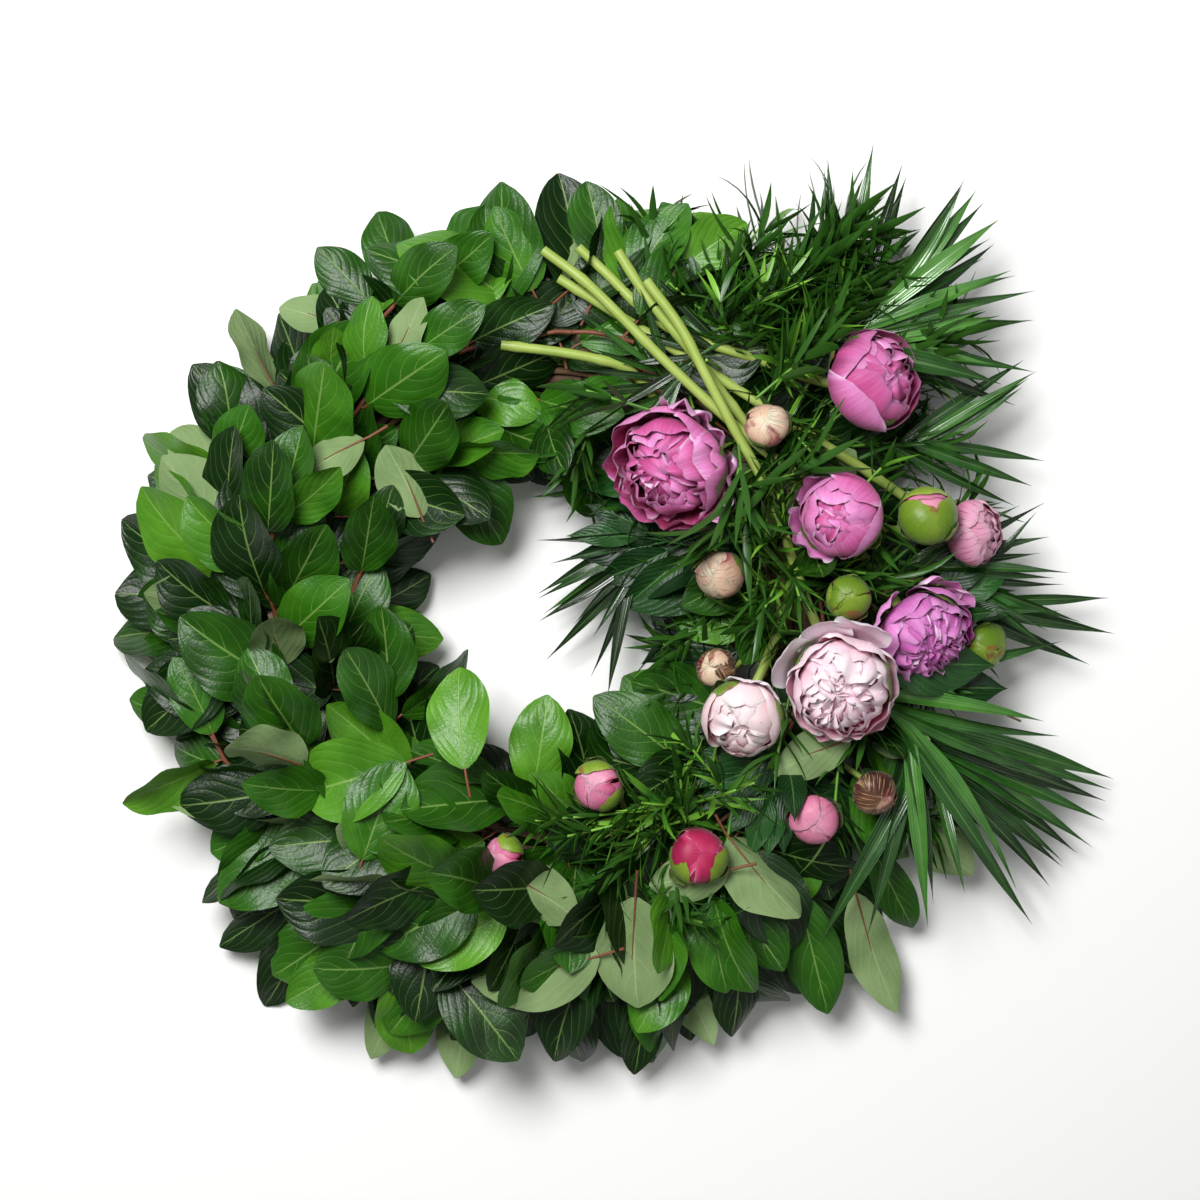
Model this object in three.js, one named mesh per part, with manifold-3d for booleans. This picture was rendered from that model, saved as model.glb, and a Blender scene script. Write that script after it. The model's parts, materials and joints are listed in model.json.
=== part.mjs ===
// Memorial wreath lying on its back: a brushwood ring wound with wire, salal sprigs over the left, top
// and bottom, and a spray of palm, narrow foliage and peonies over the right.
// Millimetres, +Z up, +Y towards the top of the wreath. Sizes are worked out about the ring's centre,
// and the finished group is moved so that the origin is the middle of its footprint.
import * as THREE from "three";
import { mergeVertices } from "three/addons/utils/BufferGeometryUtils.js";
import Module from "manifold-3d";

const wasm = await Module();
wasm.setup();

// ---- driving dimensions ----
const GAP = 0.35; // between touching pieces
const RING = { radius: 190, halfWidth: 30, halfHeight: 28, centre: 26, steps: 36, sides: 9 };
const WIRE = { radius: 0.7, lift: 7, floor: 1.1, first: 95, pitch: 45, turns: 7.45, stepsPerTurn: 12 };
const SPRIG = { stem: 1.7, lead: 11, span: 47, bound: 0.3, steps: 6, leaves: 13, perLane: 7 };

// Leaf outlines: half width at each station, both as fractions of the blade's length.
const SALAL = {
  petiole: 9, thickness: 0.8, fold: 0.1, droop: 0.12, clearOfStem: true,
  stations: [[0, 0.014], [0.25, 0.3], [0.66, 0.27], [1, 0]],
};
const PEONY_LEAF = {
  petiole: 14, thickness: 0.8, fold: 0.12, droop: 0.1, clearOfStem: true,
  stations: [[0, 0.014], [0.3, 0.15], [0.68, 0.125], [1, 0]],
};
const PALM_LEAFLET = {
  petiole: 2, thickness: 0.6, fold: 0.3, droop: 0.08, clearOfStem: false,
  stations: [[0.3, 0.026], [0.7, 0.022], [1, 0]],
};
const NARROW_LEAF = {
  petiole: 1.5, thickness: 0.5, fold: 0.2, droop: 0.05, clearOfStem: false,
  stations: [[0.45, 0.045], [1, 0]],
};

const COLOURS = {
  brushwood: 0x6b4f35, wire: 0x3c4238, salal: 0x2f6a24, palm: 0x1f4a24, narrow: 0x2a5a26,
  peonyLeaf: 0x214f27, stem: 0x9bb06a, pink: 0xd978b4, blush: 0xedc5cf, cream: 0xe6cfc0,
  green: 0x93a24e, magenta: 0xc03672, brown: 0x6a3a35,
};

// ---- helpers ----
const degrees = THREE.MathUtils.degToRad;
const vector = (x, y, z) => new THREE.Vector3(x, y, z);

// A repeatable value from 0 to 1 for whole number n.
function scatter(n) {
  const value = Math.sin(n * 12.9898 + 4.1414) * 43758.5453;
  return value - Math.floor(value);
}

function solidOf(geometry) {
  const bare = geometry.clone();
  bare.deleteAttribute("normal");
  bare.deleteAttribute("uv");
  const merged = mergeVertices(bare, 1e-4);
  return new wasm.Manifold(new wasm.Mesh({
    numProp: 3,
    vertProperties: new Float32Array(merged.attributes.position.array),
    triVerts: new Uint32Array(merged.index.array),
  }));
}

function geometryOf(solid) {
  const mesh = solid.getMesh();
  const geometry = new THREE.BufferGeometry();
  geometry.setAttribute("position", new THREE.BufferAttribute(mesh.vertProperties, 3));
  geometry.setIndex(new THREE.BufferAttribute(mesh.triVerts, 1));
  geometry.computeVertexNormals();
  return geometry;
}

function joined(solids) {
  return solids.reduce((sum, solid) => sum.add(solid));
}

function boxOf(solid) {
  const { min, max } = solid.boundingBox();
  return new THREE.Box3(vector(...min), vector(...max));
}

// Everything already in place, so that later leaves can be fitted between.
const placed = [];

function occupy(solid) {
  placed.push({ solid, box: boxOf(solid) });
}

function isApart(one, other) {
  const shared = one.intersect(other);
  const apart = shared.isEmpty();
  shared.delete();
  return apart;
}

function isFree(solid, own) {
  const box = boxOf(solid);
  if (box.min.z < GAP) return false;
  return placed.every((other) => {
    if (other.solid === own || !other.box.intersectsBox(box)) return true;
    return isApart(other.solid, solid);
  });
}

// A point beside the ring: turn is the angle around the wreath, tilt the angle around the ring's
// section from the outer side over the crown, lift the distance off its surface.
function besideRing(turn, tilt, lift, splay = 0) {
  const reach = RING.radius + (RING.halfWidth + lift) * Math.cos(degrees(tilt)) + splay;
  const height = RING.centre + (RING.halfHeight + lift) * Math.sin(degrees(tilt));
  return vector(reach * Math.cos(degrees(turn)), reach * Math.sin(degrees(turn)), height);
}

// A round section, drawn with a few sides, swept along a path.
function extruded(path, radius, sides, steps) {
  const corners = [];
  for (let i = 0; i < sides; i++) {
    const angle = (i / sides) * 2 * Math.PI;
    corners.push(new THREE.Vector2(radius * Math.cos(angle), radius * Math.sin(angle)));
  }
  const section = new THREE.Shape(corners);
  return solidOf(new THREE.ExtrudeGeometry(section, { steps, extrudePath: path, bevelEnabled: false }));
}

// A rod along a smooth curve through the points.
function rod(points, radius, sides, steps) {
  return extruded(new THREE.CatmullRomCurve3(points.map((p) => vector(...p))), radius, sides, steps);
}

// The point and heading at a fraction of such a rod's length, on its straight stretches.
function onRod(points, steps, fraction) {
  const knots = new THREE.CatmullRomCurve3(points.map((p) => vector(...p))).getSpacedPoints(steps);
  const index = Math.min(Math.floor(fraction * steps), steps - 1);
  const heading = knots[index + 1].clone().sub(knots[index]);
  const at = knots[index].clone().addScaledVector(heading, fraction * steps - index);
  return { at, heading: heading.normalize() };
}

// A leaf along +X with its upper face up: a three-sided cone whose rows become stations from the
// petiole to the tip, two of its edges the margins and the third the midrib's keel underneath.
function leafGeometry(kind, length, widen = 0, start = 1) {
  const stations = [[(-start * kind.petiole) / length, 0.013], ...kind.stations];
  const rows = stations.length - 1;
  const geometry = new THREE.CylinderGeometry(0, 1, 1, 3, rows);
  const position = geometry.attributes.position;
  for (let i = 0; i < position.count; i++) {
    const row = Math.round((position.getY(i) + 0.5) * rows);
    const shrink = Math.max(1 - row / rows, 1e-6);
    const side = position.getX(i) / shrink / Math.sin(Math.PI / 3);
    const keel = position.getZ(i) / shrink > 0.5;
    const [along, halfWidth] = stations[row];
    const y = side * (halfWidth * length + widen);
    const bend = kind.droop * length * Math.max(along, 0) ** 2;
    const rise = keel ? -kind.thickness : kind.fold * Math.abs(y);
    position.setXYZ(i, along * length + kind.petiole + (row === rows ? widen : 0), y, rise - bend);
  }
  return geometry;
}

// Turns +X to the direction given, with +Z as near to the facing as it can be, rolled about +X.
function placement(at, direction, facing, roll) {
  const x = direction.clone().normalize();
  const z = facing.clone().addScaledVector(x, -facing.dot(x)).normalize();
  const y = z.clone().cross(x);
  const basis = new THREE.Matrix4().makeBasis(x, y, z);
  basis.multiply(new THREE.Matrix4().makeRotationX(degrees(roll)));
  return basis.setPosition(at);
}

// Tries a leaf in its own place, then turned and shrunk a little at a time until it is clear of
// everything else, and gives up after the last try.
const TRIES = [ // pitch and fan in degrees, then size
  [0, 0, 1], [8, 5, 1], [-8, -5, 1], [16, -9, 0.96], [-15, 9, 0.94], [26, 12, 0.9],
  [-22, -14, 0.86], [36, 0, 0.84], [46, -16, 0.8], [12, 26, 0.76], [30, -28, 0.72], [55, 20, 0.7],
];

function fittedLeaf(kind, length, at, frame, { fan, pitch, roll }, own) {
  for (const [pitchShift, fanShift, scale] of TRIES) {
    const swing = degrees(fan + fanShift);
    const lift = degrees(pitch + pitchShift);
    const level = frame.flow.clone().multiplyScalar(Math.cos(swing));
    level.addScaledVector(frame.out, Math.sin(swing));
    const direction = level.multiplyScalar(Math.cos(lift)).addScaledVector(frame.up, Math.sin(lift));
    const matrix = placement(at, direction, frame.up, roll);
    // The leaf is tested a gap higher and a gap lower, and its blade is tested against its own stem.
    const clear = [GAP, -GAP].every((shift) => {
      const moved = matrix.clone().multiply(new THREE.Matrix4().makeTranslation(0, 0, shift));
      const guard = solidOf(leafGeometry(kind, length * scale, GAP).applyMatrix4(moved));
      const blade = solidOf(leafGeometry(kind, length * scale, GAP, 0.4).applyMatrix4(moved));
      return isFree(guard, own) && (!kind.clearOfStem || isApart(blade, own));
    });
    if (clear) return solidOf(leafGeometry(kind, length * scale).applyMatrix4(matrix));
  }
  return null;
}

// Fits a leaf to the stem that comes first among the solids, or to the one at the index given.
function fit(solids, kind, length, at, frame, aim, stem = 0) {
  const leaf = fittedLeaf(kind, length, at, frame, aim, solids[stem]);
  if (leaf) {
    occupy(leaf);
    solids.push(leaf);
  }
}

const wreath = new THREE.Group();

function add(name, solid, colour, roughness = 0.6, metalness = 0) {
  const material = new THREE.MeshStandardMaterial({ color: COLOURS[colour], roughness, metalness });
  const mesh = new THREE.Mesh(geometryOf(solid), material);
  mesh.name = name;
  wreath.add(mesh);
}

// ---- binding wire: one length wound around the ring, through channels under its flat ----
function wirePoint(turns) {
  const point = besideRing(WIRE.first + WIRE.pitch * turns, 360 * turns, WIRE.lift);
  point.z = Math.max(point.z, WIRE.floor);
  return point;
}

function wireSolid() {
  const steps = Math.round(WIRE.turns * WIRE.stepsPerTurn);
  const path = new THREE.CurvePath();
  for (let i = 0; i < steps; i++) {
    const from = wirePoint(i / WIRE.stepsPerTurn);
    path.add(new THREE.LineCurve3(from, wirePoint((i + 1) / WIRE.stepsPerTurn)));
  }
  return extruded(path, WIRE.radius, 4, steps);
}

// ---- brushwood ring, flat underneath, with a few loose twig ends ----
const TWIG_ENDS = [
  [[182, -40, 30], [215, -38, 34], [262, -52, 30], [308, -66, 26], [345, -82, 22]],
  [[196, 10, 34], [225, 18, 40], [262, 22, 40], [300, 20, 34]],
  [[178, -84, 20], [214, -104, 22], [262, -118, 18], [300, -126, 14]],
];

function ringSolid() {
  const profile = [];
  for (let i = 0; i <= RING.sides; i++) {
    const angle = ((i + 0.5) / RING.sides) * 2 * Math.PI - Math.PI / 2;
    const height = Math.max(RING.centre + RING.halfHeight * Math.sin(angle), 0);
    profile.push(new THREE.Vector2(RING.radius + RING.halfWidth * Math.cos(angle), height));
  }
  const band = solidOf(new THREE.LatheGeometry(profile, RING.steps).rotateX(Math.PI / 2));
  const twigs = TWIG_ENDS.map((points) => rod(points, 1.8, 4, 4));
  let ring = joined([band, ...twigs]);
  const depth = WIRE.floor + WIRE.radius + 3 * GAP;
  for (let turn = 0; turn < WIRE.turns - 0.6; turn++) {
    const from = wirePoint(turn + 0.62);
    const to = wirePoint(turn + 0.88);
    const lowest = wirePoint(turn + 0.75);
    const channel = new THREE.BoxGeometry(from.distanceTo(to) + 12, 5, 2 * depth);
    channel.rotateZ(Math.atan2(to.y - from.y, to.x - from.x)).translate(lowest.x, lowest.y, 0);
    ring = ring.subtract(solidOf(channel));
  }
  return ring;
}

const ring = ringSolid();
const wire = wireSolid();
occupy(ring);
occupy(wire);
add("brushwood_ring", ring, "brushwood", 0.9);
add("binding_wire", wire, "wire", 0.45, 0.7);

// ---- peonies: open heads on cut stems that cross over the top of the ring ----
// at: middle of the head. faces: compass direction and tilt from upright. stem: from the cut end.
const PEONIES = [
  {
    at: [86, 100, 84], across: 86, faces: [215, 22],
    stem: [[-33, 188, 72], [20, 181, 71], [62, 168, 66]],
  },
  {
    at: [232, 163, 84], across: 70, faces: [15, 30],
    stem: [[22, 258, 70], [52, 230, 70], [80, 204, 71], [150, 178, 69]],
  },
  {
    at: [206, 66, 104], across: 62, faces: [200, 18],
    stem: [[-3, 255, 78], [25, 234, 79], [97, 163, 80], [160, 108, 78]],
  },
  {
    at: [268, -19, 76], across: 68, faces: [310, 30],
    stem: [[50, 254, 80], [74, 217, 80], [104, 181, 78], [150, 122, 67], [222, 44, 62]],
  },
  {
    at: [206, -55, 106], across: 82, faces: [260, 12],
    stem: [[70, 232, 90], [95, 198, 90], [122, 146, 88], [158, 80, 82], [186, 2, 72]],
  },
  {
    at: [137, -77, 94], across: 58, faces: [240, 22],
    stem: [[168, 4, 67], [162, -24, 66], [150, -52, 62]],
  },
  {
    at: [305, 55, 66], across: 46, faces: [0, 40],
    stem: [[8, 236, 69], [97, 181, 69], [200, 116, 66], [258, 80, 54]],
  },
];
const HEAD_PROFILE = [
  [0, -0.36], [0.16, -0.35], [0.38, -0.2], [0.5, 0.04], [0.46, 0.24], [0.3, 0.33], [0, 0.28],
];

function facing([compass, tilt]) {
  const level = Math.sin(degrees(tilt));
  const height = Math.cos(degrees(tilt));
  return vector(level * Math.cos(degrees(compass)), level * Math.sin(degrees(compass)), height);
}

// A turned body with its lower end at the start of the profile, lobed like its petals.
function turned(profile, across, segments, lobes, depth) {
  const points = profile.map(([r, z]) => new THREE.Vector2(r * across, z * across));
  const geometry = new THREE.LatheGeometry(points, segments).rotateX(Math.PI / 2);
  const position = geometry.attributes.position;
  for (let i = 0; i < position.count; i++) {
    const angle = Math.atan2(position.getY(i), position.getX(i));
    const swell = 1 + depth * Math.cos(lobes * angle);
    position.setXY(i, position.getX(i) * swell, position.getY(i) * swell);
  }
  return geometry;
}

function standing(geometry, at, axis) {
  const turn = new THREE.Quaternion().setFromUnitVectors(vector(0, 0, 1), axis);
  return solidOf(geometry.applyQuaternion(turn).translate(...at));
}

PEONIES.forEach(({ at, across, faces, stem }, index) => {
  const axis = facing(faces);
  const head = standing(turned(HEAD_PROFILE, across, 15, 5, 0.05), at, axis);
  const foot = vector(...at).addScaledVector(axis, -0.36 * across - GAP);
  const under = foot.clone().addScaledVector(axis, -9);
  const stalk = rod([...stem, under.toArray(), foot.toArray()], 3.6, 6, 8);
  occupy(head);
  occupy(stalk);
  add(`peony_head_${index + 1}`, head, index === 4 || index === 5 ? "blush" : "pink", 0.55);
  add(`peony_stem_${index + 1}`, stalk, "stem", 0.5);
});

// ---- buds, each grown with its own short stem ----
const BUDS = [
  { at: [154, 130, 101], across: 33, faces: [120, 15], foot: [174, 126, 66], colour: "cream" },
  { at: [268, 66, 96], across: 40, faces: [90, 15], foot: [236, 58, 52], colour: "green" },
  { at: [121, 24, 86], across: 37, faces: [250, 20], foot: [150, 34, 52], colour: "cream" },
  { at: [212, 8, 96], across: 31, faces: [180, 10], foot: [206, 26, 64], colour: "green" },
  { at: [120, -42, 70], across: 28, faces: [160, 30], foot: [148, -30, 40], colour: "brown" },
  { at: [232, -130, 84], across: 31, faces: [300, 20], foot: [206, -108, 50], colour: "brown" },
  { at: [189, -149, 88], across: 37, faces: [260, 15], foot: [172, -122, 50], colour: "pink" },
  { at: [106, -174, 92], across: 42, faces: [80, 20], foot: [106, -190, 50], colour: "magenta" },
  { at: [35, -125, 88], across: 36, faces: [200, 25], foot: [66, -170, 62], colour: "green" },
  { at: [-31, -174, 92], across: 30, faces: [180, 35], foot: [6, -180, 62], colour: "green" },
  { at: [315, -26, 54], across: 32, faces: [340, 35], foot: [246, -20, 30], colour: "green" },
];
const BUD_PROFILE = [
  [0, -0.48], [0.26, -0.42], [0.47, -0.16], [0.5, 0.08], [0.38, 0.36], [0.14, 0.48], [0, 0.5],
];

BUDS.forEach(({ at, across, faces, foot, colour }, index) => {
  const axis = facing(faces);
  const body = standing(turned(BUD_PROFILE, across, 8, 4, 0.03), at, axis);
  const under = vector(...at).addScaledVector(axis, -0.4 * across);
  const below = under.clone().addScaledVector(axis, -0.3 * across);
  const bud = body.add(rod([foot, below.toArray(), under.toArray()], 2.2, 4, 4));
  occupy(bud);
  add(`peony_bud_${index + 1}`, bud, colour, 0.5);
});

// ---- salal stems, three to each turn of wire: outer side, crown and inner side of the ring ----
const LANES = [
  { name: "outer", tilt: 36, rise: 22, splay: 20, hang: 30, lean: 22, sag: 34, pitch: 6 },
  { name: "crown", tilt: 82, rise: 32, splay: 4, hang: 0, lean: 2, sag: 16, pitch: 20 },
  { name: "inner", tilt: 140, rise: 20, splay: -16, hang: 0, lean: -22, sag: 0, pitch: 10 },
];

function smooth(t) {
  const s = THREE.MathUtils.clamp(t, 0, 1);
  return s * s * (3 - 2 * s);
}

function sprigPoint(lane, start, t) {
  const turn = start - SPRIG.span * t;
  const hang = lane.hang * Math.max(0, -Math.sin(degrees(turn)));
  const room = THREE.MathUtils.clamp(1 - 1.6 * Math.cos(degrees(turn)), 0.2, 1); // lower by the flowers
  const rise = lane.rise * room * smooth((t - SPRIG.bound) / (1 - SPRIG.bound));
  return besideRing(turn, lane.tilt, SPRIG.stem + 2 * GAP + rise, (lane.splay + hang) * smooth(t - 0.2));
}

// The way a sprig grows at a point of its stem, the way out from the ring's middle, and up between them.
function sprigFrame(lane, at, heading) {
  const turn = Math.atan2(at.y, at.x);
  const normal = vector(Math.cos(turn), Math.sin(turn), 0).multiplyScalar(Math.cos(degrees(lane.tilt)));
  normal.z = Math.sin(degrees(lane.tilt)) + 1.4;
  const up = normal.addScaledVector(heading, -normal.dot(heading)).normalize();
  return { flow: heading, up, out: up.clone().cross(heading) };
}

const sprigs = [];
for (const lane of LANES) {
  for (let k = 0; k < SPRIG.perLane; k++) {
    const start = WIRE.first + WIRE.pitch * (k + lane.tilt / 360) + SPRIG.lead;
    const points = [];
    for (let i = 0; i <= 6; i++) points.push(sprigPoint(lane, start, i / 6).toArray());
    const stem = rod(points, SPRIG.stem, 4, SPRIG.steps);
    occupy(stem);
    sprigs.push({ name: `salal_${lane.name}_${k + 1}`, lane, points, solids: [stem] });
  }
}

// ---- sprays: a stalk from the ring with leaflets fanned from its end ----
const SPRAYS = [
  {
    name: "palm_lower_right", kind: PALM_LEAFLET, foot: [216, -92, 58], hub: [250, -74, 60],
    axis: -58, spread: 48, pairs: 6, run: 54, reach: 190, pitch: -9,
  },
  {
    name: "palm_right", kind: PALM_LEAFLET, foot: [236, 6, 50], hub: [276, 4, 44],
    axis: 2, spread: 34, pairs: 3, run: 36, reach: 146, pitch: -4,
  },
  {
    name: "palm_upper_right", kind: PALM_LEAFLET, foot: [176, 140, 54], hub: [200, 184, 52],
    axis: 40, spread: 56, pairs: 6, run: 62, reach: 168, pitch: 2,
  },
  {
    name: "palm_side", kind: PALM_LEAFLET, foot: [214, 104, 48], hub: [248, 118, 48],
    axis: 6, spread: 34, pairs: 3, run: 36, reach: 126, pitch: -2,
  },
  {
    name: "palm_top", kind: PALM_LEAFLET, foot: [128, 150, 58], hub: [96, 156, 62],
    axis: 140, spread: 70, pairs: 4, run: 26, reach: 92, pitch: 14,
  },
  {
    name: "palm_inner", kind: PALM_LEAFLET, foot: [146, 78, 52], hub: [92, 62, 44],
    axis: 228, spread: 24, pairs: 2, run: 32, reach: 146, pitch: -6,
  },
  {
    name: "peony_leaves_inner", kind: PEONY_LEAF, foot: [158, 40, 50], hub: [104, 46, 48],
    axis: 170, spread: 62, pairs: 2, run: 26, reach: 84, pitch: -2,
  },
  {
    name: "peony_leaves_lower", kind: PEONY_LEAF, foot: [190, -110, 56], hub: [176, -100, 62],
    axis: 232, spread: 74, pairs: 3, run: 26, reach: 74, pitch: 4,
  },
  {
    name: "peony_leaves_right", kind: PEONY_LEAF, foot: [234, 20, 48], hub: [258, 6, 50],
    axis: -20, spread: 62, pairs: 2, run: 30, reach: 78, pitch: 0,
  },
];
const LEVEL = { flow: vector(1, 0, 0), out: vector(0, 1, 0), up: vector(0, 0, 1) };

for (const spray of SPRAYS) {
  const rise = Math.sin(degrees(spray.pitch));
  const heading = vector(Math.cos(degrees(spray.axis)), Math.sin(degrees(spray.axis)), rise);
  const end = vector(...spray.hub).addScaledVector(heading, spray.run);
  spray.points = [spray.foot, spray.hub, end.toArray()];
  spray.solids = [rod(spray.points, 1.6, 4, 6)];
  occupy(spray.solids[0]);
}

// ---- narrow foliage: thin branches set with whorls of narrow leaves ----
const NARROW = [
  {
    name: "narrow_foliage_top", foot: [138, 167, 54], arch: -9,
    ends: [[150, 222, 92], [198, 202, 88], [122, 216, 96]],
  },
  {
    name: "narrow_foliage_middle", foot: [170, 34, 64], arch: 12,
    ends: [[140, 70, 92], [148, -10, 88], [178, 6, 98]],
  },
  {
    name: "narrow_foliage_bottom", foot: [100, -140, 60], arch: 12,
    ends: [[66, -136, 98], [14, -160, 92], [146, -122, 96]],
  },
];
const WHORL = { leaves: 6, levels: [0.5, 0.78, 1], length: 44 };

for (const shrub of NARROW) {
  shrub.branches = shrub.ends.map((end) => {
    const middle = vector(...shrub.foot).lerp(vector(...end), 0.5).add(vector(0, 0, shrub.arch));
    const points = [shrub.foot, middle.toArray(), end];
    const solid = rod(points, 1.2, 4, 3);
    occupy(solid);
    return { points, solid };
  });
}

// ---- leaflets, narrow leaves, then salal leaves, each fitted between what is already there ----
SPRAYS.forEach((spray, index) => {
  const leaflets = 2 * spray.pairs + 1;
  for (let i = 0; i < leaflets; i++) {
    const seed = 40 * index + i;
    const along = i / (leaflets - 1);
    const side = i % 2 ? 1 : -1;
    const swing = i === leaflets - 1 ? 0 : side * spray.spread * (1 - 0.88 * along);
    const length = spray.reach * (0.8 + 0.1 * scatter(seed) + 0.1 * along) - spray.run * along;
    const { at } = onRod(spray.points, 6, 0.5 + 0.5 * along);
    const pitch = spray.pitch + 8 * (scatter(seed + 20) - 0.5);
    const aim = { fan: spray.axis + swing, pitch, roll: -side * 10 };
    fit(spray.solids, spray.kind, length, at, LEVEL, aim);
  }
  add(spray.name, joined(spray.solids), spray.kind === PALM_LEAFLET ? "palm" : "peonyLeaf", 0.45);
});

NARROW.forEach((shrub, index) => {
  const solids = shrub.branches.map(({ solid }) => solid);
  shrub.branches.forEach(({ points }, branch) => {
    for (const [level, fraction] of WHORL.levels.entries()) {
      const { at } = onRod(points, 3, fraction);
      for (let i = 0; i < WHORL.leaves; i++) {
        const seed = 300 + index * 100 + branch * 30 + level * 8 + i;
        const compass = (i + level / 2) * (360 / WHORL.leaves) + 30 * scatter(seed);
        const length = WHORL.length * (0.75 + 0.5 * scatter(seed + 900));
        const aim = { fan: compass, pitch: 12 + 34 * scatter(seed + 500), roll: 0 };
        fit(solids, NARROW_LEAF, length, at, LEVEL, aim, branch);
      }
    }
  });
  add(shrub.name, joined(solids), "narrow", 0.5);
});

for (let i = 0; i < SPRIG.leaves; i++) {
  sprigs.forEach(({ lane, points, solids }, index) => {
    const seed = 1000 + index * 20 + i;
    const along = (i + 1) / SPRIG.leaves;
    const side = (i + index) % 2 ? 1 : -1;
    const last = i === SPRIG.leaves - 1;
    const { at, heading } = onRod(points, SPRIG.steps, 0.12 + 0.86 * along);
    const low = Math.max(0, -at.y / RING.radius);
    const lean = lane.lean + lane.sag * low;
    const fan = last ? lean / 2 : side * (14 + 44 * scatter(seed + 700)) + lean;
    const length = (64 + 24 * scatter(seed + 300)) * (1 - 0.15 * along) * (1 + 0.1 * low);
    const aim = { fan, pitch: lane.pitch + 20 * (scatter(seed) - 0.5), roll: -side * 12 };
    fit(solids, SALAL, length, at, sprigFrame(lane, at, heading), aim);
  });
}
for (const { name, solids } of sprigs) add(name, joined(solids), "salal", 0.4);

// ---- the origin is the middle of the footprint, on the surface the wreath lies on ----
const whole = new THREE.Box3().setFromObject(wreath);
const middle = whole.getCenter(vector(0, 0, 0));
for (const mesh of wreath.children) mesh.position.set(-middle.x, -middle.y, 0);

export default wreath;
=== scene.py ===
import bpy
import json
import numpy as np
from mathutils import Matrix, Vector

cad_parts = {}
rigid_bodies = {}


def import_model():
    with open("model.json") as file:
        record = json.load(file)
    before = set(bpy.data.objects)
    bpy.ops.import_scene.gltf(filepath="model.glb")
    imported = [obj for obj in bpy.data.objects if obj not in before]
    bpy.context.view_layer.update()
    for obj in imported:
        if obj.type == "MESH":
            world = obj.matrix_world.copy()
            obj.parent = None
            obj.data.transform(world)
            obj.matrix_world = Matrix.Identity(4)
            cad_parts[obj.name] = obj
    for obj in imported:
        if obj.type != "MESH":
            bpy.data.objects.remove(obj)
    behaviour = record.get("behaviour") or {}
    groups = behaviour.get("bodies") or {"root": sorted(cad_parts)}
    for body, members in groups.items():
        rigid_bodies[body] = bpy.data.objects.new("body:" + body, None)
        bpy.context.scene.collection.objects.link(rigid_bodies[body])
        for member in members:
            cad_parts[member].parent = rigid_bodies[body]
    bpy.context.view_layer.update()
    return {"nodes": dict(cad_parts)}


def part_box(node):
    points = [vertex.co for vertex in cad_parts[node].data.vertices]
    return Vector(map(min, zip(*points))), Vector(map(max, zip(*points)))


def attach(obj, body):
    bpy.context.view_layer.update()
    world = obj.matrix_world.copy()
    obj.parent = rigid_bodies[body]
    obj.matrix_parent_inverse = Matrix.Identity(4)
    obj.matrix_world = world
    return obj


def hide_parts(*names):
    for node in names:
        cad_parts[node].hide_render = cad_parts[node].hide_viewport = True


for leftover in list(bpy.data.objects):
    bpy.data.objects.remove(leftover)
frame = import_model()
nodeNames = sorted(frame["nodes"])
ringLow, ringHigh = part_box("brushwood_ring")
ring = dict(outer=0.220, middle=0.190)      # metres, about the ring's own centre
ringCentre = np.array([ringLow.x + ring["outer"], ringHigh.y - ring["outer"], 0.0])
print("frame loaded:", len(nodeNames), "solids, ring centre", ringCentre.round(4))


# small helpers

def unit(vectors):
    # each vector over its own length
    return vectors / np.maximum(np.linalg.norm(vectors, axis=-1, keepdims=True), 1e-12)


def smoothStep(value, low, high):
    # 3t^2 - 2t^3 where t runs from 0 at low to 1 at high
    t = np.clip((value - low) / (high - low), 0, 1)
    return t * t * (3 - 2 * t)


def linearColour(code):
    # sRGB hex to the linear colour the shader wants
    channels = np.array([int(code[i:i + 2], 16) / 255 for i in (0, 2, 4)])
    linear = np.where(channels <= 0.04045, channels / 12.92, ((channels + 0.055) / 1.055) ** 2.4)
    return (*linear.tolist(), 1.0)


def addNode(tree, kind, inputs=None, output=0, **settings):
    # one shader node: its settings, then each input either linked or set; gives back one of its outputs
    made = tree.nodes.new("ShaderNode" + kind)
    for key, value in settings.items():
        setattr(made, key, value)
    for key, value in (inputs or {}).items():
        socket = made.inputs[key]
        if isinstance(value, bpy.types.NodeSocket):
            tree.links.new(value, socket)
        else:
            socket.default_value = value
    return made.outputs[output] if made.outputs else None


def placed(name, data, location=(0, 0, 0)):
    made = bpy.data.objects.new(name, data)
    bpy.context.scene.collection.objects.link(made)
    made.location = location
    return made


def newMaterial(name):
    made = bpy.data.materials.new(name)
    made.use_nodes = True
    made.node_tree.nodes.clear()
    return made, made.node_tree


def finishMaterial(tree, shader):
    addNode(tree, "OutputMaterial", {"Surface": shader})


def colourRamp(tree, factor, stops):
    # a ColorRamp from (place, hex) pairs
    colour = addNode(tree, "ValToRGB", {"Fac": factor})
    band = colour.node.color_ramp
    while len(band.elements) < len(stops):
        band.elements.new(0.5)
    for element, (place, code) in zip(band.elements, stops):
        element.position = place
        element.color = linearColour(code)
    return colour


# mesh helpers: every surface is a grid of points, and every face is a quad

def gridQuads(index):
    # the four corners of each cell of a grid, anticlockwise seen from above
    corners = [index[:-1, :-1], index[1:, :-1], index[1:, 1:], index[:-1, 1:]]
    return np.stack(corners, -1).reshape(-1, 4)


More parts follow.
